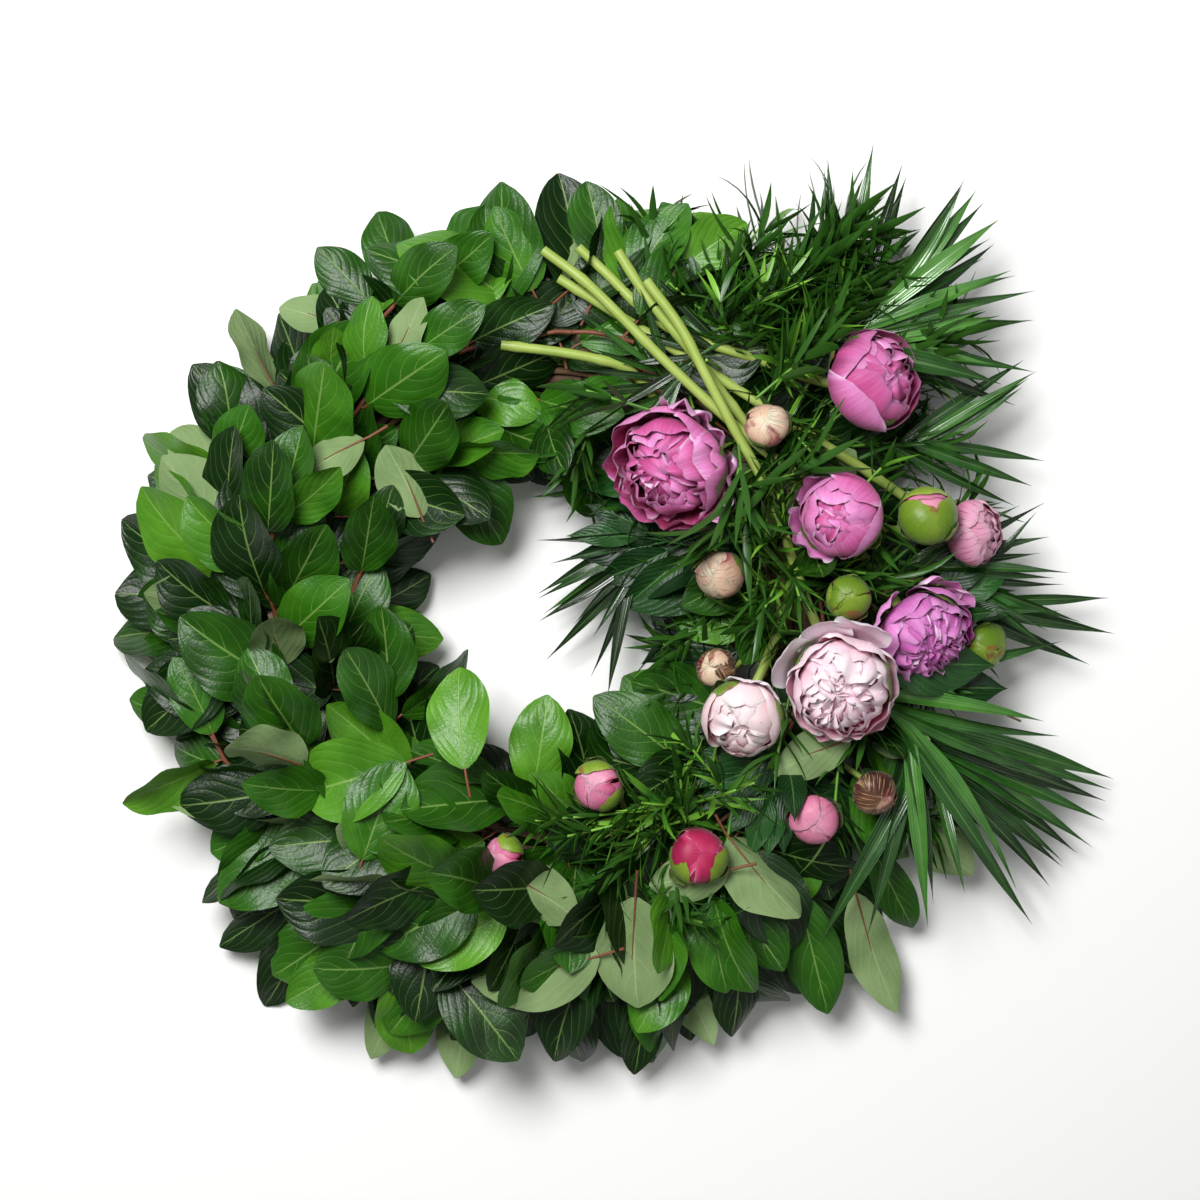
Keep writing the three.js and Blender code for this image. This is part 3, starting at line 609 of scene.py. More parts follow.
def barkMaterial(name, look):
    # bark on a thin stem: long streaks, pale breathing pores and a dull skin
    made, tree = newMaterial(name)
    uv, _, _, _, tone, _, place = leafInputs(tree)
    scale = (look["streakAlong"], look["streakAround"], 1.0)
    stretch = addNode(tree, "Mapping", {"Vector": uv, "Scale": scale})
    streaks = addNode(tree, "TexNoise", {"Vector": stretch, "Scale": 4.0, "Detail": 4.0})
    blotch = addNode(tree, "TexNoise", {"Vector": place, "Scale": 45.0, "Detail": 3.0})
    mixed = addNode(tree, "Math", {0: streaks, 1: blotch}, operation="ADD")
    mixed = addNode(tree, "Math", {0: mixed, 1: 0.42, 2: tone}, operation="MULTIPLY_ADD")
    colour = colourRamp(tree, mixed, [(0.3, look["dark"]), (0.62, look["mid"]), (1.0, look["light"])])
    pores = addNode(tree, "TexVoronoi", {"Vector": place, "Scale": 260.0})
    pores = addNode(tree, "MapRange", {"Value": pores, "From Max": 0.16, "To Min": 0.5, "To Max": 0.0})
    colour = addNode(tree, "Mix", {0: pores, 6: colour, 7: linearColour(look["pores"])},
                     output=2, data_type="RGBA")
    height = addNode(tree, "Math", {0: streaks, 1: pores}, operation="ADD")
    bump = addNode(tree, "Bump", {"Height": height, "Strength": look["bump"], "Distance": 0.0005})
    rough = addNode(tree, "MapRange", {"Value": streaks, "To Min": look["gloss"] - 0.08,
                                       "To Max": look["gloss"] + 0.1})
    finishMaterial(tree, addNode(tree, "BsdfPrincipled", {
        "Base Color": colour, "Roughness": rough, "Normal": bump}))
    return made


# broad leaves: salal, the florist's lemon leaf

salalLeaf = dict(
    rows=17, columns=9, thickness=0.0005,
    width=0.33, bluntness=(0.85, 1.12), edge=(0.46, 0.2), breadth=(0.86, 1.12), sway=0.09,
    fold=(0.0, 0.34), cupping=(-0.34, 0.2), waves=0.03, curl=(-0.45, 0.2), twist=0.3,
    petiole=0.009, stalk=0.0012, stemRadius=0.0017, stemSides=8, stemTone=0.3,
    tone=(-0.15, 0.56), looseFoot=2.2, looseDip=0.004, looseLean=0.28, looseDroop=(0.02, 0.22), placedLean=0.2,
    placedDroop=0.1, seed=11,
)
# waxed evergreen leaf: deep green, with a broad soft sheen over slightly sunken veins and a pale dull underside
salalLook = dict(dark="0a2604", mid="2b610c", light="5d9723", vein="94b860", veinShow=0.46, veins=5.2,
                 veinLean=(0.55, 1.5), ribWidth=0.022, netSize=0.0036, under="56743c", underLight="8fa573",
                 underVein="a9b98a", gloss=0.36, shine=0.38, bump=0.28)
leafRandom = np.random.default_rng(salalLeaf["seed"])
salalGreen = leafMaterial("salalLeafWaxed", salalLook)
# young reddish stem: dull, so that the leaves stand out from it
salalTwig = barkMaterial("salalTwigReddish", dict(
    dark="3a1c14", mid="6b3a26", light="8c5a3a", pores="a58a6a", streakAlong=3.0, streakAround=8.0, bump=0.3,
    gloss=0.55))


def salalPiece(name, frames, toneRange, stem=None, stoodFor=(), slender=1.0):
    # toneRange is two ends to draw between, or one tone for each leaf
    kind = dict(salalLeaf, width=salalLeaf["width"] * slender)
    upper, lower, midrib, up = leafBlades(kind, frames, leafRandom)
    tone = np.array(toneRange) if len(toneRange) > 2 else leafRandom.uniform(*toneRange, len(midrib))
    parts = [shellPart(upper, lower, tone)]
    if stem is None:
        # a loose leaf keeps a short stalk of its own
        stem = midrib[:, 0] - unit(midrib[:, 1] - midrib[:, 0]) * kind["looseFoot"] * kind["petiole"]
        stem = stem - up[:, 0] * kind["looseDip"]
    else:
        parts.append(tubePart(stem[None], kind["stemRadius"], kind["stemSides"], kind["stemTone"], 1))
    parts.insert(1, leafStalks(kind, midrib, up, stem, kind["stemTone"], 1))
    return makePiece(name, parts, [salalGreen, salalTwig], stoodFor)


for name in [n for n in nodeNames if n.startswith("salal")]:
    rows, rest = solidLeaves(name, 3)
    frames = loosened(leafFrames(leafStations, rows, 0.1), leafRandom, yaw=13, roll=20, pitch=8, over=0.05)
    salalPiece(name + "_leaves", clearOfFlowers(frames), salalLeaf["tone"], stemThrough(rest), [name])

# a group of loose leaves or twigs about the ring: how many, from and to which turn in degrees, and the ranges of
# reach from the ring's middle, height, way against outwards, pitch, length and tone
fillColumns = ("name", "count", "turn", "reach", "height", "way", "pitch", "length", "tone")


def fillRow(*values, **more):
    return dict(zip(fillColumns, values), **more)


# leaves packed round the sprigs: over is the share that lies face down. The groups under the sprigs, inside the ring
# and hanging below it get low tones that darken them: painted shade of the leaves above them
salalFill = [
    fillRow("salal_under_left", 90, (62, 262), (0.165, 0.235), (0.044, 0.062), (-95, 30), (-5, 18),
            (0.062, 0.084), (-0.6, -0.1)),
    fillRow("salal_under_right", 70, (-98, 62), (0.160, 0.232), (0.036, 0.056), (-110, 40), (-5, 10),
            (0.060, 0.082), (-0.7, -0.25)),
    fillRow("salal_hanging", 34, (226, 322), (0.226, 0.268), (0.020, 0.058), (-36, 30), (-18, 2),
            (0.082, 0.104), (-0.8, -0.1), over=0.16, slender=0.66),
    fillRow("salal_side_left", 22, (140, 228), (0.215, 0.250), (0.026, 0.050), (-60, 20), (-12, 12),
            (0.062, 0.082), (-0.3, 0.2)),
    fillRow("salal_low_crown", 34, (236, 312), (0.165, 0.240), (0.062, 0.080), (-80, 10), (0, 22),
            (0.066, 0.088), (-0.2, 0.4), over=0.1),
    fillRow("salal_top_crown", 26, (62, 104), (0.180, 0.245), (0.058, 0.068), (-70, 60), (0, 14),
            (0.060, 0.082), (-0.1, 0.5)),
    fillRow("salal_inside", 30, (70, 300), (0.135, 0.165), (0.018, 0.050), (-170, -110), (-14, 6),
            (0.055, 0.072), (-0.7, -0.2)),
]


def aroundRing(group, random, jitter):
    # feet and headings of a group's leaves or twigs, spread over its turn about the ring
    count = group["count"]
    turn = np.linspace(*group["turn"], count) + random.uniform(-jitter, jitter, count)
    reach, height = random.uniform(*group["reach"], count), random.uniform(*group["height"], count)
    angle = np.radians(turn)
    base = ringCentre + np.stack([reach * np.cos(angle), reach * np.sin(angle), height], -1)
    way = turn + random.uniform(*group["way"], count)
    return base, headings(way, random.uniform(*group["pitch"], count))


def ringLeaves(group):
    base, heading = aroundRing(group, leafRandom, 3)
    count = len(base)
    grown = grownFrames(base, heading, nearlyUp(leafRandom, salalLeaf["looseLean"], count),
                        leafRandom.uniform(*group["length"], count),
                        leafRandom.uniform(*salalLeaf["looseDroop"], count))
    return loosened(grown, leafRandom, yaw=0, roll=24, pitch=4, over=group.get("over", 0.06))


for group in salalFill:
    salalPiece(group["name"], clearOfFlowers(ringLeaves(group)), group["tone"],
               slender=group.get("slender", 1.0))

# single leaves that catch the eye, and those that stand out from the outline: base and tip in metres about the
# ring's centre, tone, and whether they lie face down
singleLeaves = [
    ((0.040, 0.248, 0.062), (0.030, 0.306, 0.070), 0.15, False),
    ((-0.040, 0.240, 0.062), (-0.050, 0.290, 0.064), 0.1, False),
    ((0.098, 0.246, 0.072), (0.140, 0.278, 0.078), 0.55, False),
    ((0.066, 0.208, 0.078), (0.110, 0.262, 0.080), 0.2, False),
    ((-0.100, -0.108, 0.092), (-0.178, -0.134, 0.090), 0.5, False),
    ((-0.058, -0.112, 0.098), (-0.070, -0.040, 0.088), 0.6, False),
    ((-0.130, -0.176, 0.096), (-0.106, -0.106, 0.100), 0.35, False),
    ((-0.030, -0.214, 0.092), (-0.092, -0.252, 0.086), 0.6, False),
    ((0.062, -0.204, 0.084), (0.058, -0.284, 0.078), 0.3, True),
    ((0.036, -0.246, 0.080), (-0.050, -0.272, 0.068), 0.3, True),
    ((0.128, -0.184, 0.088), (0.072, -0.196, 0.092), 0.4, True),
    ((-0.028, -0.186, 0.096), (0.024, -0.216, 0.092), 0.3, True),
    ((0.214, -0.092, 0.084), (0.160, -0.112, 0.082), 0.3, True),
    ((-0.222, 0.050, 0.070), (-0.276, 0.106, 0.066), 0.4, True),
    ((-0.130, 0.120, 0.090), (-0.180, 0.096, 0.090), 0.4, True),
    ((-0.090, 0.066, 0.074), (-0.110, 0.118, 0.080), 0.4, True),
    ((-0.250, -0.079, 0.046), (-0.309, -0.073, 0.040), 0.3, False),
    ((-0.244, -0.022, 0.048), (-0.297, 0.006, 0.044), 0.0, False),
    ((-0.232, 0.099, 0.050), (-0.277, 0.126, 0.046), 0.5, True),
    ((-0.147, 0.203, 0.056), (-0.194, 0.222, 0.052), 0.3, True),
    ((-0.130, 0.222, 0.052), (-0.165, 0.262, 0.052), 0.1, False),
    ((-0.146, -0.228, 0.046), (-0.202, -0.272, 0.036), 0.3, False),
    ((-0.192, -0.150, 0.050), (-0.246, -0.180, 0.044), 0.2, False),
    ((-0.184, -0.200, 0.036), (-0.234, -0.232, 0.026), -0.4, False),
    ((0.264, -0.157, 0.040), (0.306, -0.194, 0.034), 0.3, True),
]
# leaves that hang over the lower rim: most have low tones that darken them, painted shade under the leaves above
hangingLeaves = [
    ((-0.100, -0.250, 0.044), (-0.124, -0.331, 0.020), 0.1, True),
    ((-0.046, -0.250, 0.040), (-0.066, -0.316, 0.020), -0.5, False),
    ((0.070, -0.256, 0.052), (0.070, -0.340, 0.034), -0.1, False),
    ((0.030, -0.250, 0.042), (0.026, -0.312, 0.026), -0.4, False),
    ((0.118, -0.236, 0.046), (0.138, -0.312, 0.028), -0.3, False),
    ((0.180, -0.206, 0.060), (0.202, -0.296, 0.048), 0.2, False),
    ((0.222, -0.206, 0.044), (0.248, -0.292, 0.030), 0.1, True),
    ((0.096, -0.244, 0.036), (0.104, -0.318, 0.020), -0.6, False),
    ((-0.012, -0.256, 0.036), (-0.016, -0.320, 0.020), -0.6, False),
    ((0.236, -0.176, 0.046), (0.266, -0.238, 0.036), 0.1, False),
]


def placedLeaves(leaves):
    base, tip = (np.array([leaf[i] for leaf in leaves]) + ringCentre for i in (0, 1))
    faceUp = np.where([leaf[3] for leaf in leaves], -1.0, 1.0)[:, None]
    length = np.linalg.norm(tip - base, axis=1)
    up = nearlyUp(leafRandom, salalLeaf["placedLean"], len(base)) * faceUp
    return grownFrames(base, tip - base, up, length, salalLeaf["placedDroop"] * faceUp[:, 0])


salalPiece("salal_single_leaves", placedLeaves(singleLeaves), [leaf[2] for leaf in singleLeaves])
salalPiece("salal_hanging_tips", placedLeaves(hangingLeaves), [leaf[2] for leaf in hangingLeaves], slender=0.62)
print("salal leaves made")


# palm sprays and cut peony leaves

palmLeaf = dict(
    rows=15, columns=5, thickness=0.0004,
    width=0.040, bluntness=(0.68, 0.8), edge=(0.38, 1.0), breadth=(0.9, 1.2), sway=0.05,
    fold=(0.25, 0.7), cupping=(-0.1, 0.1), waves=0.004, curl=(-0.12, 0.05), twist=0.5,
    petiole=0.002, stalk=0.0008, stalkTone=0.4, stemRadius=0.0016, stemSteps=24, stemSides=8, stemTone=0.5,
    tone=(0.0, 0.55), between=8, seed=5,
)
peonyLeaf = dict(
    rows=17, columns=9, thickness=0.0005,
    width=0.19, bluntness=(0.8, 0.95), edge=(0.65, 0.75), breadth=(0.9, 1.15), sway=0.08,
    fold=(0.1, 0.4), cupping=(-0.2, 0.1), waves=0.02, curl=(-0.3, 0.1), twist=0.25,
    petiole=0.012, stalk=0.0011, stalkTone=0.4, stemRadius=0.0016, stemSteps=24, stemSides=8, stemTone=0.5,
    tone=(0.0, 0.55), between=60, insideWidth=0.235, insideLean=0.3, insideDroop=0.12, seed=6,
)
# palm leaflet: fine ribs from base to tip catch the light in lines
palmGreen = strapMaterial("palmLeafletRibbed", dict(
    dark="081f05", mid="1f4e14", light="508a34", vein="7aa858", veinShow=0.32, ribs=7, tipLight=-0.12,
    under="3a6234", gloss=0.24, shine=0.8, bump=0.6))
# cut peony leaf: darker and smoother than salal, with less sheen
peonyGreen = leafMaterial("peonyLeafDark", dict(
    dark="051d06", mid="123c10", light="2a621f", vein="5a9048", veinShow=0.5, veins=8.0, veinLean=(0.5, 0.7),
    ribWidth=0.035, netSize=0.005, under="4a6a48", underLight="6f8a68", underVein="86a07a", gloss=0.4,
    shine=0.45, bump=0.3))
sprays = dict(      # metres about the ring's centre: where it leaves the ring, where it fans, and its far end
    palm_lower_right=[(0.216, -0.092, 0.058), (0.250, -0.074, 0.060), (0.279, -0.120, 0.0516)],
    palm_right=[(0.236, 0.006, 0.050), (0.276, 0.004, 0.044), (0.312, 0.0053, 0.0415)],
    palm_upper_right=[(0.176, 0.140, 0.054), (0.200, 0.184, 0.052), (0.2475, 0.2239, 0.0542)],
    palm_side=[(0.214, 0.104, 0.048), (0.248, 0.118, 0.048), (0.2838, 0.1218, 0.0467)],
    palm_top=[(0.128, 0.150, 0.058), (0.096, 0.156, 0.062), (0.0761, 0.1727, 0.0683)],
    palm_inner=[(0.146, 0.078, 0.052), (0.092, 0.062, 0.044), (0.0706, 0.0382, 0.0407)],
    peony_leaves_inner=[(0.158, 0.040, 0.050), (0.104, 0.046, 0.048), (0.0784, 0.0505, 0.0471)],
    peony_leaves_lower=[(0.190, -0.110, 0.056), (0.176, -0.100, 0.062), (0.160, -0.1205, 0.0638)],
    peony_leaves_right=[(0.234, 0.020, 0.048), (0.258, 0.006, 0.050), (0.2862, -0.0043, 0.050)],
)


def seededBy(kind, name):
    return np.random.default_rng([kind["seed"], sum(map(ord, name))])


for name, knots in sprays.items():
    palm = name.startswith("palm")
    kind = palmLeaf if palm else peonyLeaf
    random = seededBy(kind, name)
    # the rows of the solid leaves, and how far their ribs stand below the blade
    stations, fold = ([1.0, 0.7, 0.3], 0.3) if palm else ([1.0, 0.68, 0.3, 0.0], 0.1)
    frames = leafFrames(stations, solidLeaves(name, 2 if palm else 3)[0], fold)
    frames = joinFrames(frames, betweenFrames(frames, kind["between"]))
    upper, lower, midrib, up = leafBlades(kind, frames, random)
    tone = random.uniform(*kind["tone"], len(midrib))
    stem = smoothPath(np.array(knots) + ringCentre, kind["stemSteps"])
    radii = np.linspace(1.1, 0.5, kind["stemSteps"]) * kind["stemRadius"]
    parts = [shellPart(upper, lower, tone), leafStalks(kind, midrib, up, stem, kind["stalkTone"], 0),
             tubePart(stem[None], radii, kind["stemSides"], kind["stemTone"], 0)]
    makePiece(name + "_spray", parts, [palmGreen if palm else peonyGreen], [name])

# palm fans over the foliage: the rib's foot and end in metres about the ring's centre, how many leaflets grow from
# it, and their compass directions and lengths from the first to the last
palmFans = dict(
    palm_fan_lower=dict(rib=[(0.214, -0.052, 0.066), (0.240, -0.070, 0.070), (0.272, -0.096, 0.066)], count=10,
                        way=(14, -118), length=(0.125, 0.165), tone=(0.05, 0.7), drop=0.14),
    palm_fan_upper=dict(rib=[(0.206, 0.178, 0.064), (0.226, 0.200, 0.066), (0.242, 0.222, 0.066)], count=12,
                        way=(-8, 56), length=(0.090, 0.122), tone=(0.2, 0.8), drop=0.10, broad=1.5),
    palm_fan_middle=dict(rib=[(0.252, 0.034, 0.052), (0.272, 0.030, 0.050), (0.292, 0.024, 0.048)], count=10,
                         way=(28, -34), length=(0.080, 0.110), tone=(0.0, 0.4), drop=0.12),
    palm_fan_top=dict(rib=[(0.140, 0.196, 0.070), (0.116, 0.186, 0.076), (0.096, 0.170, 0.078)], count=9,
                      way=(96, 246), length=(0.060, 0.085), tone=(-0.2, 0.2), drop=0.10),
    palm_fan_inner=dict(rib=[(0.100, 0.062, 0.046), (0.078, 0.050, 0.042), (0.062, 0.036, 0.038)], count=9,
                        way=(172, 262), length=(0.070, 0.105), tone=(-0.3, 0.2), drop=0.14),
)
# degrees that a leaflet's direction and pitch vary by, its lean, how its drop varies, and how far up the rib the
# first leaflet sits, in steps
fanGrowth = dict(jitter=(-4, 4), pitch=(-2, 12), lean=0.35, drop=(0.5, 1.3), first=4)
for name, fan in palmFans.items():
    random = seededBy(palmLeaf, name)
    count = fan["count"]
    rib = smoothPath(np.array(fan["rib"]) + ringCentre, palmLeaf["stemSteps"])
    base = rib[np.linspace(fanGrowth["first"], len(rib) - 1, count).astype(int)]
    way = np.linspace(*fan["way"], count) + random.uniform(*fanGrowth["jitter"], count)
    heading = headings(way, random.uniform(*fanGrowth["pitch"], count))
    lean = nearlyUp(random, fanGrowth["lean"], count)
    frames = grownFrames(base, heading, lean, random.uniform(*fan["length"], count),
                         fan["drop"] * random.uniform(*fanGrowth["drop"], count))
    kind = dict(palmLeaf, width=palmLeaf["width"] * fan.get("broad", 1.0))
    upper, lower, midrib, up = leafBlades(kind, frames, random)
    radii = np.linspace(1.2, 0.5, len(rib)) * palmLeaf["stemRadius"]
    parts = [shellPart(upper, lower, random.uniform(*fan["tone"], count)),
             tubePart(rib[None], radii, palmLeaf["stemSides"], palmLeaf["stemTone"], 0)]
    makePiece(name, parts, [palmGreen])

# dark peony leaves that close the right side of the opening: base, tip and tone, metres about the ring's centre
innerLeaves = [
    ((0.140, 0.052, 0.046), (0.036, 0.018, 0.040), 0.1),
    ((0.132, 0.020, 0.050), (0.044, 0.012, 0.046), 0.3),
    ((0.140, 0.000, 0.040), (0.062, -0.036, 0.034), -0.1),
    ((0.136, -0.030, 0.050), (0.060, -0.062, 0.040), 0.0),
    ((0.130, 0.070, 0.040), (0.058, 0.072, 0.034), -0.1),
    ((0.118, 0.088, 0.050), (0.020, 0.090, 0.044), 0.15),
    ((0.110, 0.110, 0.050), (-0.004, 0.096, 0.046), 0.35),
    ((0.150, -0.006, 0.034), (0.074, 0.010, 0.028), -0.2),
    ((0.140, 0.040, 0.030), (0.052, 0.052, 0.024), -0.2),
    ((0.128, -0.052, 0.034), (0.074, -0.010, 0.028), -0.1),
    ((0.236, -0.040, 0.078), (0.320, -0.036, 0.072), 0.35),
    ((0.262, -0.060, 0.062), (0.330, -0.050, 0.058), 0.1),
    ((0.170, -0.094, 0.070), (0.110, -0.138, 0.074), 0.3),
    ((0.180, -0.120, 0.060), (0.230, -0.170, 0.054), 0.2),
]
random = np.random.default_rng(peonyLeaf["seed"])
base, tip = (np.array([leaf[i] for leaf in innerLeaves]) + ringCentre for i in (0, 1))
frames = grownFrames(base, tip - base, nearlyUp(random, peonyLeaf["insideLean"], len(base)),
                     np.linalg.norm(tip - base, axis=1), peonyLeaf["insideDroop"])
upper, lower, _, _ = leafBlades(dict(peonyLeaf, width=peonyLeaf["insideWidth"]), frames, random)
makePiece("peony_leaves_inside", [shellPart(upper, lower, np.array([leaf[2] for leaf in innerLeaves]))],
          [peonyGreen])
print("palm and peony leaves made")


# narrow foliage: thin twigs set with rings of needle-like leaves

narrowLeaf = dict(
    rows=7, columns=3, thickness=0.0004,
    width=0.052, bluntness=(0.7, 0.9), edge=(0.4, 0.7), breadth=(0.8, 1.2), sway=0.08,
    fold=(0.1, 0.4), cupping=(0, 0), waves=0.0, curl=(-0.5, 0.5), twist=0.6,
    twigRadius=0.0011, twigSides=6, twigTone=0.5, twigSteps=30, looseSteps=20, twigFloor=0.004,
    bareFoot=0.3, perRing=5, ringSpacing=0.0095, length=(0.026, 0.044), spread=(30, 64),
    droop=(-0.15, 0.3), looseDroop=(0.0, 0.2), tone=(0.0, 0.7), seed=8,
)
# young narrow leaf: light green that pales towards the tip, so that the rings look feathery
narrowGreen = strapMaterial("narrowLeafFresh", dict(
    dark="0a2304", mid="265a10", light="74ac34", vein="7cb04a", veinShow=0.4, ribs=2, tipLight=0.22,
    under="2c5618", gloss=0.36, shine=0.5, bump=0.2))
narrowTwigs = dict(     # metres about the ring's centre: the foot of the bunch, how far its twigs arch, their ends
    narrow_foliage_top=dict(foot=(0.138, 0.167, 0.054), arch=-0.009, ends=[
        (0.150, 0.222, 0.092), (0.198, 0.202, 0.088), (0.122, 0.216, 0.096),
        (0.172, 0.236, 0.080), (0.214, 0.226, 0.074), (0.112, 0.176, 0.094), (0.176, 0.178, 0.094)]),
    narrow_foliage_middle=dict(foot=(0.170, 0.034, 0.064), arch=0.012, ends=[
        (0.140, 0.070, 0.092), (0.148, -0.010, 0.088), (0.178, 0.006, 0.098),
        (0.236, 0.100, 0.086), (0.164, 0.096, 0.094), (0.262, 0.020, 0.076)]),
    narrow_foliage_bottom=dict(foot=(0.100, -0.140, 0.060), arch=0.012, ends=[
        (0.066, -0.136, 0.098), (0.014, -0.160, 0.092), (0.146, -0.122, 0.096),
        (0.052, -0.176, 0.088), (0.036, -0.198, 0.076), (0.090, -0.206, 0.084), (-0.012, -0.150, 0.082)]),
)


def twigRings(path, random, lengths):
    # rings of leaves up a twig, each turned from the last by the golden angle:
    # heading = twig cos a + (one side cos b + other side sin b) sin a
    tangent, side, up = (part[0] for part in pathFrames(path[None]))
    steps = np.linalg.norm(np.diff(path, axis=0), axis=-1)
    reach = np.append(0, np.cumsum(steps))
    rings = np.arange(narrowLeaf["bareFoot"] * reach[-1], reach[-1], narrowLeaf["ringSpacing"])
    at = np.repeat(np.searchsorted(reach, rings).clip(0, len(path) - 1), narrowLeaf["perRing"])
    turn = np.arange(len(at)) * np.radians(137.5) + random.uniform(-0.3, 0.3, len(at))
    spread = np.radians(random.uniform(*narrowLeaf["spread"], len(at)))
    out = side[at] * np.cos(turn)[:, None] + up[at] * np.sin(turn)[:, None]
    heading = tangent[at] * np.cos(spread)[:, None] + out * np.sin(spread)[:, None]
    # the upper face looks up the twig, and the small step keeps it off the heading where both run alike
    return grownFrames(path[at], heading, tangent[at] + 1e-3, random.uniform(*lengths, len(at)),
                       random.uniform(*narrowLeaf["droop"], len(at)))


def narrowPiece(name, twigs, lengths, tone, random, stoodFor=()):
    # the leaves of all twigs, then the twigs themselves
    frames = clearOfFlowers(joinFrames(*[twigRings(twig, random, lengths) for twig in twigs]))
    upper, lower, _, _ = leafBlades(narrowLeaf, frames, random)
    parts = [shellPart(upper, lower, random.uniform(*tone, len(upper))),
             tubePart(twigs, narrowLeaf["twigRadius"], narrowLeaf["twigSides"], narrowLeaf["twigTone"], 0)]
    makePiece(name, parts, [narrowGreen], stoodFor)


for name, bunch in narrowTwigs.items():
    foot = np.array(bunch["foot"])
    twigs = [smoothPath(np.array([foot, (foot + end) / 2 + [0, 0, bunch["arch"]], end]) + ringCentre,
                        narrowLeaf["twigSteps"]) for end in np.array(bunch["ends"])]
    narrowPiece(name + "_twigs", np.array(twigs), narrowLeaf["length"], narrowLeaf["tone"],
                seededBy(narrowLeaf, name), [name])

# loose twigs of the same foliage: leaf is the range of their leaves' length
narrowFill = [
    fillRow("narrow_fill_top", 14, (54, 74), (0.180, 0.220), (0.050, 0.070), (-30, 30), (0, 14), (0.045, 0.075),
            (-0.2, 0.5), leaf=(0.036, 0.052)),
    fillRow("narrow_fill_corner", 15, (36, 58), (0.215, 0.255), (0.034, 0.050), (-24, 16), (0, 12),
            (0.085, 0.120), (-0.2, 0.5), leaf=(0.044, 0.062)),
    fillRow("narrow_fill_right", 18, (-30, 40), (0.215, 0.255), (0.026, 0.040), (-34, 34), (-2, 8),
            (0.060, 0.085), (-0.4, 0.3), leaf=(0.032, 0.046)),
    fillRow("narrow_fill_heads", 38, (-46, 76), (0.150, 0.240), (0.060, 0.078), (-180, 180), (0, 20),
            (0.045, 0.070), (-0.3, 0.7), leaf=(0.030, 0.048)),
    fillRow("narrow_fill_stems", 50, (34, 64), (0.145, 0.215), (0.098, 0.108), (-180, 180), (-6, 10),
            (0.050, 0.070), (-0.2, 0.5), leaf=(0.042, 0.066)),
    fillRow("narrow_fill_inside", 12, (-30, 62), (0.128, 0.150), (0.026, 0.050), (120, 240), (-4, 8),
            (0.040, 0.062), (-0.5, 0.1), leaf=(0.030, 0.044)),
    fillRow("narrow_fill_lower", 9, (-74, -40), (0.170, 0.235), (0.060, 0.080), (-180, 180), (0, 20),
            (0.045, 0.065), (0.0, 0.8), leaf=(0.030, 0.046)),
]
for group in narrowFill:
    random = seededBy(narrowLeaf, group["name"])
    base, heading = aroundRing(group, random, 4)
    count = len(base)
    grown = clearOfFlowers(grownFrames(
        base, heading, np.tile([0.0, 0.0, 1.0], (count, 1)), random.uniform(*group["length"], count),
        random.uniform(*narrowLeaf["looseDroop"], count)))
    twigs = throughPoints(grown["stations"], grown["centres"], np.linspace(0, 1, narrowLeaf["looseSteps"]))
    narrowPiece(group["name"], onFloor(twigs, narrowLeaf["twigFloor"]), group["leaf"], group["tone"], random)
print("narrow foliage made")


# peonies: petals laid in rounds on a squat ball, closed or opening

def petalMaterial(name, look):
    # a petal: thin and satiny, deeper towards its base, paler at its rim, with fine veins that fan along it. The
    # deepening towards the base is partly the petal's own colour and partly painted shade where the bases lie deep in
    # the flower
    made, tree = newMaterial(name)
    uv, along, _, off, tone, outer, place = leafInputs(tree)
    fan = addNode(tree, "Mapping", {"Vector": uv, "Scale": (1.2, 26.0, 1.0)})
    fan = addNode(tree, "VectorMath", {0: fan, 1: place}, operation="ADD")
    streaks = addNode(tree, "TexNoise", {"Vector": fan, "Scale": 2.2, "Detail": 4.0})
    clouds = addNode(tree, "TexNoise", {"Vector": place, "Scale": 70.0, "Detail": 2.0})
    shade = addNode(tree, "MapRange", {"Value": off, "From Min": 0.36, "From Max": 0.5, "To Max": look["rimLight"]})
    # the colour deepens towards the petal's base: partly its own colour, partly painted shade of the flower's heart
    for value, share in ((along, 0.54), (streaks, 0.3), (tone, 0.26)):
        shade = addNode(tree, "Math", {0: value, 1: share, 2: shade}, operation="MULTIPLY_ADD")
    inside, outside = (colourRamp(tree, shade, list(zip((0.3, 0.62, 0.9, 1.0), codes)))
                       for codes in (look["inside"], look.get("outside", look["inside"])))
    colour = addNode(tree, "Mix", {0: outer, 6: inside, 7: outside}, output=2, data_type="RGBA")
    # some petals carry a line of deeper colour along their rim, broken up by the clouds, and flecks and strokes
    edge = addNode(tree, "MapRange", {"Value": off, "From Min": 0.5 - look["edgeWidth"], "From Max": 0.5})
    broken = addNode(tree, "MapRange", {"Value": clouds, "From Min": 0.38, "From Max": 0.55})
    edge = addNode(tree, "Math", {0: edge, 1: broken}, operation="MULTIPLY")
    flecks = addNode(tree, "MapRange", {"Value": clouds, "From Min": look["fleckFrom"],
                                        "From Max": look["fleckFrom"] + 0.06, "To Max": 0.6})
    strokes = addNode(tree, "MapRange", {"Value": streaks, "From Min": look["strokeFrom"],
                                         "From Max": look["strokeFrom"] + 0.07, "To Max": 0.8})
    for mask, code in ((edge, look["edge"]), (flecks, look["fleck"]), (strokes, look["edge"])):
        colour = addNode(tree, "Mix", {0: mask, 6: colour, 7: linearColour(code)}, output=2, data_type="RGBA")
    bump = addNode(tree, "Bump", {"Height": streaks, "Strength": 0.35, "Distance": 0.0006})
    finishMaterial(tree, addNode(tree, "BsdfPrincipled", {
        "Base Color": colour, "Roughness": look["rough"], "Normal": bump, "IOR": 1.4, "Specular IOR Level": 0.35,
        "Subsurface Weight": 0.4, "Subsurface Radius": (1.0, 0.5, 0.7), "Subsurface Scale": 0.0015,
        "Sheen Weight": 0.1}))
    return made


